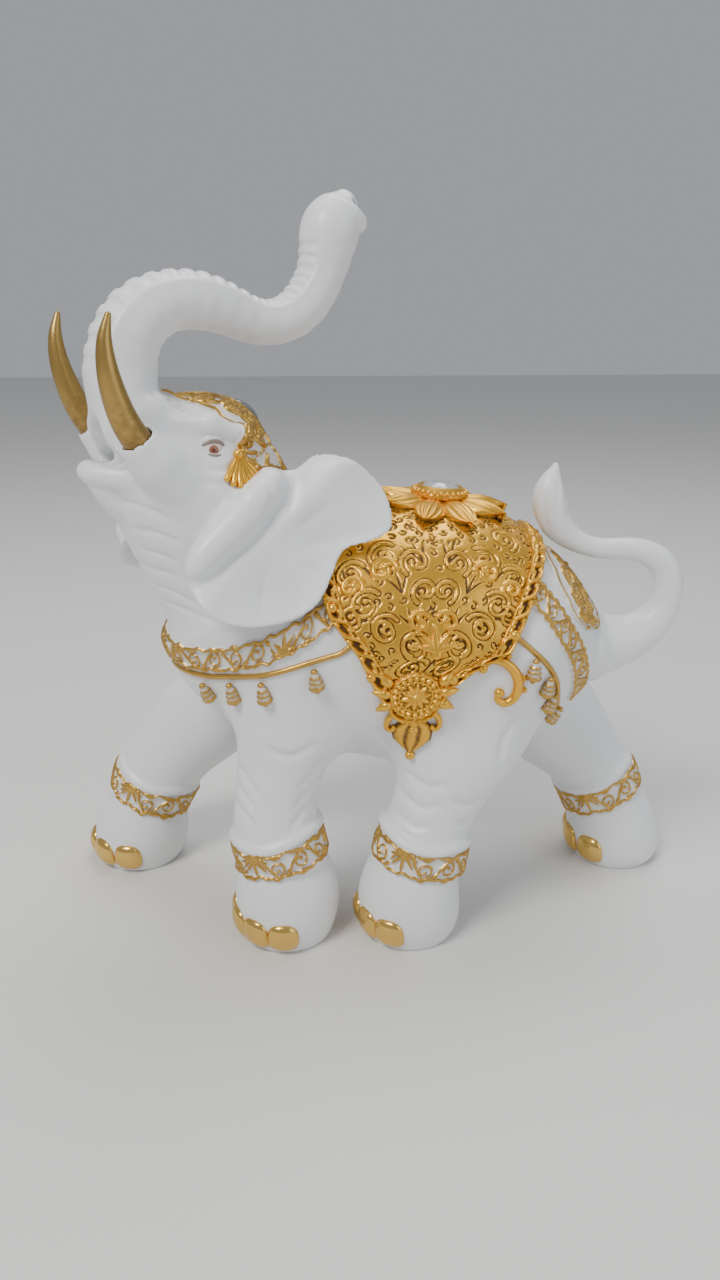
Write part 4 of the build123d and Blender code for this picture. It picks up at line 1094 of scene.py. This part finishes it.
# --- Flower, bezel and gem on the back -------------------------------------------------------
ROSETTE_X = 27.0
hub, hub_normal = over(ROSETTE_X, pi / 2)
hub_out = unit(hub_normal)
hub_back = unit(np.array([1.0, 0, 0]) - hub_out * hub_out[0])
hub_side = np.cross(hub_out, hub_back)
GEM_SEAT = 4.6          # height of the gem's girdle above the skin


def crown_spot(a, b):
    """Skin point a backwards and b sideways from the flower's middle."""
    return over(ROSETTE_X + a, pi / 2 + b / 47.0)


def petal_spot(t, w, turn):
    """Skin point under a petal: t is how far out along it, and w how far across it."""
    half = 6.9 * sin(pi * min(0.16 + 0.84 * t, 1)) ** 0.55 * (0.55 + 0.45 * t)
    r = 6.5 + 15.0 * t + 1.2 * abs(cos(2.5 * pi * w)) * t * t - 1.6 * w * w * t
    return crown_spot(r * cos(turn) - w * half * sin(turn), r * sin(turn) + w * half * cos(turn))


PETALS = 9
heap = Heap()
t, w = np.linspace(0, 1, 34)[:, None], np.linspace(-1, 1, 33)[None, :]
rib = np.abs(np.cos(2.5 * pi * w))
lift = 3.4 + 1.3 * np.sin(pi * t) * (1 - w * w) + 0.9 * rib * (0.3 + 0.7 * t) + t**3 - 1.1 * np.abs(w) ** 3
tone = 0.25 + 0.6 * rib + 0.25 * t
for k in range(PETALS):
    turn = 2 * pi * k / PETALS + 0.15
    base, normal = skin_grid(t[:, 0], w[0], lambda along, aside: petal_spot(along, aside, turn))
    heap.patch(base, normal, lift, tone, sink=-1.4)
heap.build("saddle_rosette", gold_paint, "antique_gold")

BEZEL_BEADS = 26
heap = Heap()
ring = [(0, 7.6), (1.2, 9.2), (2.2, 9.4), (2.9, 8.6), (2.9, 7.9), (4.4, 7.7), (4.6, 7.2), (3.6, 6.9),
        (0.4, 6.9)]
ring_tones = [0.2, 0.8, 1, 0.8, 0.3, 0.9, 1, 0.6, 0.3]
heap.turned(hub + hub_out * (GEM_SEAT - 2.4), hub_out, ring, ring_tones, sides=64)
for k in range(BEZEL_BEADS):
    a = 2 * pi * k / BEZEL_BEADS
    bead_at = hub + hub_out * (GEM_SEAT + 0.4) + 8.9 * (cos(a) * hub_back + sin(a) * hub_side)
    heap.ball(bead_at, 0.95, hub_out, rings=6, sides=10)
heap.build("gem_bezel", gold_paint, "antique_gold")


def brilliant(centre, out, back, radius, crown, pavilion, sides):
    """A faceted stone: table, star and kite facets, girdle and pavilion."""
    side = np.cross(out, back)
    rows = ((0.52, crown, 0.5), (0.80, crown * 0.62, 0.0), (1.0, 0.25, 0.5), (1.0, -0.25, 0.5),
            (0.55, -pavilion * 0.6, 0.0))
    points = [centre + out * crown]
    for r, z, shift in rows:
        for k in range(sides):
            a = 2 * pi * (k + shift) / sides
            points.append(centre + out * z + radius * r * (cos(a) * back + sin(a) * side))
    points.append(centre - out * pavilion)
    faces = []
    for k in range(sides):
        n = (k + 1) % sides
        faces.append((0, 1 + k, 1 + n))
        for row, (near, far) in enumerate(zip(rows, rows[1:])):
            a, b = 1 + row * sides + k, 1 + row * sides + n
            c, d = a + sides, b + sides
            if near[2] > far[2]:
                faces += [(a, c, d), (a, d, b)]
            elif near[2] < far[2]:
                faces += [(a, c, b), (b, c, d)]
            else:
                faces.append((a, c, d, b))
        last = 1 + (len(rows) - 1) * sides
        faces.append((last + k, len(points) - 1, last + n))
    return points, faces


heap = Heap()
heap.add(*brilliant(hub + hub_out * (GEM_SEAT + 0.9), hub_out, hub_back, 7.1, 2.4, 2.6, 14), 1.0)
heap.build("saddle_gem", clear_stone, "clear_gem", smooth=False)

# --- Medallion, pendant and scrolls on each flank --------------------------------------------
MEDALLION_X, MEDALLION_Z = 14.5, 97.5
PENDANT_T = [0, 0.12, 0.3, 0.5, 0.66, 0.8, 0.93, 1]             # down the pendant
PENDANT_HALF = [1.8, 3.2, 5.8, 6.6, 6.2, 4.2, 1.9, 0.5]         # its half width there
PENDANT_CURL = [(2.0, 89), (5.2, 90.5), (8.0, 88.2), (8.6, 84.8), (7.0, 83.4), (6.0, 84.9)]
C_SCROLL = [(36.2, 104.8), (38.5, 107), (42.5, 106.8), (46.5, 103.6), (48.2, 98.8), (47.2, 94.3),
            (44.2, 92.3), (41.6, 93.8), (42, 96.2)]


def upward(v):
    """A direction, turned over if it points down."""
    return v if v[2] > 0 else -v


def circle(carving, x, y, radius, thickness, height, count):
    """A ring in a carving."""
    t = np.linspace(0, 2 * pi, count)
    points = np.stack([x + radius * np.cos(t), y + radius * np.sin(t)], axis=1)
    carving.stroke(points, (thickness, thickness), height)


for side_name, hand in SIDES:
    point, n = flank(MEDALLION_X, MEDALLION_Z, hand)
    level = unit(np.array([1.0, 0, 0]) - n * n[0])
    above = upward(np.cross(n, level))
    c = Carving((-13, -13), (13, 13))
    for a in 2 * pi * np.arange(10) / 10 + 0.2:
        c.leaf(1.2 * cos(a), 1.2 * sin(a), a, 3.6, 1.9, 1.0)
        c.bead(4.9 * cos(a + 0.3), 4.9 * sin(a + 0.3), 0.5, 0.6)
    c.bead(0, 0, 1.5, 1.9)
    circle(c, 0, 0, 5.4, 0.35, 0.7, 60)
    circle(c, 0, 0, 7.9, 0.5, 0.9, 60)
    for a in 2 * pi * np.arange(20) / 20:
        c.bead(6.7 * cos(a), 6.7 * sin(a), 0.95, 1.3)
    r = np.linspace(0.02, 1, 44)
    a = np.linspace(0, 2 * pi, 120, endpoint=False)[:, None]
    lobe = 8.5 + 0.25 * np.cos(20 * a)
    px, py = lobe * r * np.cos(a), lobe * r * np.sin(a)
    base = point + n * 1.6 + px[..., None] * level + py[..., None] * above
    carved = c.at(px, py)
    lift = 0.9 + 0.5 * (1 - r**2) + carved - 0.6 * ease((r - 0.93) / 0.07)
    heap = Heap()
    heap.patch(base, np.broadcast_to(n, base.shape), lift, np.clip(0.3 + carved, 0, 1), sink=2.2, loop=True)
    for flip in (1, -1):
        for lean, long in ((0.15, 6.2), (0.8, 5.4), (-0.5, 5.4)):
            leaf_line = [point + n * (2.2 - 0.3 * t) + level * flip * (7.8 + long * t * cos(lean))
                         + above * (long * t * sin(lean) + lean * 5) for t in np.linspace(0, 1, 8)]
            heap.tube(leaf_line, (1.1, 1.9, 1.7, 1.1, 0.3), height=0.75)
    heap.build(f"medallion_{side_name}", gold_paint, "antique_gold")

    # Tulip drop below it, with a ball at its foot.
    def pendant_spot(t, w):
        """Skin point under the pendant: t is how far down it, and w how far across it."""
        half = np.interp(t, PENDANT_T, PENDANT_HALF)
        return flank(MEDALLION_X + w * half, 89.6 - 15.5 * t, hand)

    t, w = np.linspace(0, 1, 46)[:, None], np.linspace(-1, 1, 31)[None, :]
    rib = np.cos(1.5 * pi * w) ** 2
    lift = (0.5 + (2.4 - t) * np.sqrt(np.maximum(1 - w * w, 0))
            + 0.7 * rib * np.sin(pi * np.minimum(t * 1.05, 1)))
    base, normal = skin_grid(t[:, 0], w[0], pendant_spot)
    heap = Heap()
    heap.patch(base, normal, lift, 0.22 + 0.7 * rib + 0 * t)
    foot_point, foot_n = flank(MEDALLION_X, 72.8, hand)
    heap.ball(foot_point + foot_n * 0.8, 1.7, foot_n)
    for flip in (1, -1):
        curl = raised_line([(MEDALLION_X + flip * x, z) for x, z in PENDANT_CURL], 26, hand, 1.0)
        heap.tube(curl, (0.7, 1.0, 1.1, 0.9, 0.9), height=0.85)
    heap.build(f"pendant_{side_name}", gold_paint, "antique_gold")

    # C-scroll behind the cloth, with a ball at each end and three on its back.
    heap = Heap()
    heap.tube(raised_line(C_SCROLL, 50, hand, 0.7), (0.8, 1.5, 1.8, 1.5, 1.0), sides=12, height=0.85)
    for end, size in ((C_SCROLL[0], 1.6), (C_SCROLL[-1], 1.7)):
        end_point, end_n = flank(*end, hand)
        heap.ball(end_point + end_n * 0.9, size)
    for x, z in ((49.8, 100.5), (50.3, 96.4), (44.6, 108.3)):
        bead_point, bead_n = flank(x, z, hand)
        heap.ball(bead_point + bead_n * 0.5, 1.1, bead_n)
    heap.build(f"side_scroll_{side_name}", gold_paint, "antique_gold")

# --- Ornament over the rump ------------------------------------------------------------------
CREST_LOW = 0.32        # where its lowest points lie, round the barrel


def crest_spot(turn, u):
    """Skin point of the crest: turn round the barrel, and u from its front edge to its back."""
    t = abs(turn - pi / 2) / (pi / 2 - CREST_LOW)        # 0 on top, 1 at the lowest points
    half = 9.5 * max(1 - t**2.2, 0) ** 0.5 + 0.6 + 0.8 * abs(sin(9 * turn))
    return over(71.5 + 6.5 * t * t + u * half, turn)


steps, across = 300, 64
base, normal = skin_grid(np.linspace(CREST_LOW, pi - CREST_LOW, steps), np.linspace(-1, 1, across),
                         crest_spot)
s = arc_lengths(base)
wide = np.linalg.norm(base[:, -1] - base[:, 0], axis=1)
p = np.linspace(-0.5, 0.5, across)[None, :] * wide[:, None]
q = np.repeat((s - s[-1] / 2)[:, None], across, axis=1)
c = Carving((-14, -s[-1] / 2 - 2), (14, s[-1] / 2 + 2))
for flip in (1, -1):
    for y, size in ((3, 3.6), (11, 3.4), (18, 2.8), (24, 2.0)):
        for side in (1, -1):
            c.scroll(side * 0.8, y * flip, size * 1.2, flip * pi / 2, -side * flip, 0.9, 1.4)
            c.leaf(side * 2.5, (y + 3.4) * flip, flip * (pi / 2 - side * 0.9), 6.5, 2.2, 1.3)
    c.stroke([(0, 0), (0, 14 * flip), (0, 27 * flip)], (1.0, 0.8, 0.5), 1.5)
    c.fan(0, 22 * flip, flip * pi / 2, 3, 1.2, 6, 1.8, 1.3)
for a in 2 * pi * np.arange(8) / 8:
    c.leaf(cos(a), sin(a), a, 5.2, 2.2, 1.6)
c.bead(0, 0, 1.8, 2.2)
edge = np.abs(np.linspace(-1, 1, across))[None, :]
carved = np.maximum(np.maximum(c.at(p, q), 0), 0.9 * np.exp(-(((edge - 0.9) / 0.07) ** 2)))
heap = Heap()
heap.patch(base, normal, 0.5 + carved, np.clip(carved / 1.15, 0, 1))
heap.build("rump_crest", gilt_paint, "antique_gold")

# --- Forehead plate, its stone and the temple pendants ---------------------------------------
HEAD_RUN = unit(BACK * -33.5 + UP * 46)          # from the neck towards the trunk
HEAD_TOP = unit(BACK * 46 + UP * 33.5)           # square to it, out of the forehead
HEAD_START = head_point(-8.5, 136.5, 0)
BROW_REACH = 34.0       # further from the head's axis than any of its skin


def brow_spot(a, turn):
    """Skin point of the forehead: a along the head, turn from its middle line to the left."""
    away = cos(turn) * HEAD_TOP + sin(turn) * LEFT
    middle = HEAD_START + HEAD_RUN * a
    start = 48.0
    for _ in range(6):          # pass through the trunk where it arches over the forehead
        point, normal = cast(middle, away, start, 22)
        start = (point - middle) @ away - 0.5
        if start < BROW_REACH:
            break
    return point, normal


PLATE_A = [8, 14, 20, 26, 32, 38, 44, 50, 55]           # along the plate
PLATE_TURN = [0.15, 0.42, 0.72, 0.98, 1.02, 0.82, 0.6, 0.42, 0.1]       # its reach to each side


def plate_spot(a, w):
    """Skin point of the plate: a along the head, and w from its right edge to its left."""
    return brow_spot(a, w * (np.interp(a, PLATE_A, PLATE_TURN) + 0.05 * abs(sin(a * pi / 5.5))))


steps, across = 170, 260
plate_line = np.linspace(8, 55, steps)
base, normal = skin_grid(plate_line, np.linspace(-1, 1, across), plate_spot)
side_steps = np.linalg.norm(np.diff(base, axis=1), axis=2)
side_run = np.concatenate([np.zeros((steps, 1)), np.cumsum(side_steps, axis=1)], axis=1)
p = side_run - side_run[:, across // 2][:, None]
q = np.repeat(plate_line[:, None], across, axis=1)
c = Carving((-46, 4), (46, 60))
GEM_A = 33.0            # where the stone's middle lies along the plate
for flip in (1, -1):
    for x, y, size, turn, hand in ((2, 41, 3.4, 0.9, -1), (3, 24, 4.0, -0.5, 1), (9, 30, 4.4, 0.3, 1),
                                   (9, 38, 3.8, 0.6, -1), (16, 26, 4.4, 0.1, 1), (15, 34, 3.6, 0.5, -1),
                                   (24, 29, 3.6, 0.2, 1), (22, 22, 3.6, -0.3, -1), (12, 18, 3.6, -0.2, -1),
                                   (30, 25, 3.0, 0.0, 1), (3, 15, 3.2, -0.4, 1),
                                   (6, 42, 2.6, 0.9, -1), (12, 37, 3.0, 0.6, 1), (3, 47, 2.2, 1.2, -1),
                                   (9, 44, 2.2, 0.7, 1)):
        c.scroll(x * flip, y, size, mirrored(turn, flip), hand * flip, 0.75, 1.35)
    for x, y, turn in ((7, 26, -0.3), (7, 35, 0.5), (14, 30, 0.0), (20, 32, 0.5), (20, 25, -0.4),
                       (27, 26, 0.0), (6, 45, 1.1), (8, 19, -0.7), (27, 31, 0.8), (32, 27, 0.3)):
        c.leaf(x * flip, y, mirrored(turn, flip), 6.2, 2.2, 1.4)
    for k in range(12):
        c.bead(flip * (9 + 2.2 * k), 27.4 + 0.8 * sin(k), 0.7, 1.1)
c.fan(0, 42, pi / 2, 5, 1.6, 9, 2.2, 1.6)
c.fan(0, 24, -pi / 2, 5, 1.8, 8, 2.2, 1.5)
for a in 2 * pi * np.arange(22) / 22:
    c.bead(8.2 * cos(a), GEM_A + 8.2 * sin(a), 0.9, 1.7)
circle(c, 0, GEM_A, 6.6, 0.9, 1.9, 80)
edge = np.abs(np.linspace(-1, 1, across))[None, :]
carved = np.maximum(np.maximum(c.at(p, q), 0), 1.2 * np.exp(-(((edge - 0.95) / 0.035) ** 2)))
heap = Heap()
heap.patch(base, normal, 0.4 + carved, np.clip(0.12 + carved, 0, 1))
heap.build("head_plate", gilt_paint, "antique_gold")

heap = Heap()
profile = [(0.2, 6.1), (0.9, 6.15), (1.6, 5.9), (2.4, 5.3), (3.1, 4.3), (3.6, 3.0), (3.9, 1.5), (4.0, 0.2)]
heap.turned(*brow_spot(GEM_A, 0), profile, sides=48)
heap.build("forehead_gem", grey_stone, "grey_gem")

TEMPLE_X, TEMPLE_Z = -17.0, 171.0
for side_name, hand in SIDES:
    heap = Heap()
    for spread in np.linspace(-0.8, 0.8, 7):
        tip_x, tip_z = TEMPLE_X + 8.0 * sin(spread), TEMPLE_Z - 9.0 * cos(spread)
        ray = [(TEMPLE_X, TEMPLE_Z), ((TEMPLE_X + tip_x) / 2, (TEMPLE_Z + tip_z) / 2), (tip_x, tip_z)]
        heap.tube(raised_line(ray, 12, hand, 0.5, head_point), (0.5, 0.9, 1.2, 1.0), height=0.85)
        tip_at, out = flank(tip_x, tip_z, hand, head_point)
        heap.ball(tip_at + out * 0.7, 1.0)
    top, out = flank(TEMPLE_X, TEMPLE_Z, hand, head_point)
    heap.ball(top + out * 0.9, 1.7, out)
    heap.build(f"temple_pendant_{side_name}", gold_paint, "gilt_filigree")

# --- Tusks, eyes and lids --------------------------------------------------------------------
TUSK_STEPS, TUSK_SIDES = 90, 28
for side_name, hand in SIDES:
    line = smooth_line(TUSK_LINE, TUSK_STEPS)
    points = [head_point(x, z, hand * out) for x, z, out, _ in line]
    radii = [r + 0.06 * sin(7.0 * i / 3) * (1 - i / TUSK_STEPS) for i, r in enumerate(line[:, 3])]
    # The paint is dark at the root and worn bright towards the tip.
    worn = np.repeat(np.linspace(0.15, 1.0, TUSK_STEPS), TUSK_SIDES)
    heap = Heap()
    heap.tube(points, radii, TUSK_SIDES, np.concatenate([worn, [0.2, 1.0]]))
    heap.build(f"tusk_{side_name}", tusk_paint, "tusk_gold")
    heap.heights = [worn]
    n = unit(LEFT * hand + flank(EYE_X, EYE_Z, hand, head_point)[1] * 0.5)
    ahead = unit(-BACK + n * (BACK @ n))
    above = upward(unit(np.cross(n, ahead)))
    centre = EYE_AT[hand]
    look = unit(n + ahead * 0.12 - above * 0.05)
    heap = Heap()
    heap.ball(centre, 4.35, look, rings=40, sides=48)
    from_pupil = np.degrees(np.arccos(np.clip((heap.points[0] - centre) @ look / 4.35, -1, 1)))
    heap.heights = [np.clip(from_pupil / 70, 0, 1)]
    heap.build(f"eye_{side_name}", eye_paint, "eye")
    heap, folds_heap = Heap(), Heap()
    for sign, rise, thick in ((1, 30, 0.85), (-1, 24, 0.7)):
        lid, fold_line = [], []
        for t in np.linspace(-1, 1, 26):
            a, b = radians(66) * t, radians(sign * rise) * (1 - t * t) + radians(4) * t
            d = unit(n * cos(a) * cos(b) + ahead * sin(a) + above * sin(b) * 1.1)
            lid.append(centre + d * 4.5)
            b = b + radians(sign * 15) * (1 - 0.3 * t * t)
            d = unit(n * cos(a) * cos(b) + ahead * sin(a) * 1.12 + above * sin(b) * 1.15)
            fold_line.append(centre + d * 4.4)
        heap.tube(lid, (0.25, thick * 0.8, thick * 0.8, 0.25), sides=10, height=0.5)
        folds_heap.tube(fold_line, (0.4, 1.25, 1.25, 0.4), sides=12, height=1.0)
    heap.build(f"eyelids_{side_name}", lid_paint, "white_casting", replaces=False)
    folds_heap.build(f"eye_folds_{side_name}", white_paint, "white_casting", replaces=False)

# --- Table, light and camera -----------------------------------------------------------------
floor_mesh = bpy.data.meshes.new("floor")
floor_mesh.from_pydata([(-3, -3, 0), (3, -3, 0), (3, 3, 0), (-3, 3, 0)], [], [(0, 1, 2, 3)])
floor = bpy.data.objects.new("floor", floor_mesh)
bpy.context.collection.objects.link(floor)
floor_paint = bpy.data.materials.new("floor_paint")
floor_paint.use_nodes = True
floor_shader = floor_paint.node_tree.nodes["Principled BSDF"]
floor_shader.inputs["Base Color"].default_value = (0.72, 0.71, 0.69, 1)
floor_shader.inputs["Roughness"].default_value = 0.6
floor_mesh.materials.append(floor_paint)

world = bpy.data.worlds.new("studio")
world.use_nodes = True
backdrop = world.node_tree.nodes["Background"]
backdrop.inputs["Color"].default_value = (0.86, 0.89, 0.94, 1)
backdrop.inputs["Strength"].default_value = 0.42
bpy.context.scene.world = world


def hold(name, data, place, aim):
    """An object that stands at place and looks along aim."""
    holder = bpy.data.objects.new(name, data)
    holder.location = place
    holder.rotation_mode = "QUATERNION"
    holder.rotation_quaternion = Vector(aim).to_track_quat("-Z", "Y")
    bpy.context.collection.objects.link(holder)
    return holder


def lamp(name, place, aim, power, size, colour=(1, 1, 1)):
    """A soft square lamp that looks at aim."""
    light = bpy.data.lights.new(name, "AREA")
    light.energy, light.size, light.color = power, size, colour
    hold(name, light, place, Vector(aim) - Vector(place))


MIDDLE = (0, 0, 0.12)
lamp("key", (-0.55, -0.6, 1.0), MIDDLE, 11.0, 0.4, (1.0, 0.98, 0.95))
lamp("fill", (0.8, -0.6, 0.45), MIDDLE, 3.0, 0.8, (0.92, 0.96, 1.0))
lamp("top", (0.1, 0.3, 1.0), MIDDLE, 5.0, 0.6)

CAMERA_FROM = np.array([-22.7, -324.2, 213.0])      # from the body datum
CAMERA_DIP = radians(19)
camera = bpy.data.cameras.new("camera")
camera.lens, camera.sensor_width = 27.06, 36.0
camera.clip_start = 0.01
level = unit([-CAMERA_FROM[0], -CAMERA_FROM[1], 0])
bpy.context.scene.camera = hold("camera", camera, (BODY + CAMERA_FROM) * MM,
                                level * cos(CAMERA_DIP) - UP * sin(CAMERA_DIP))
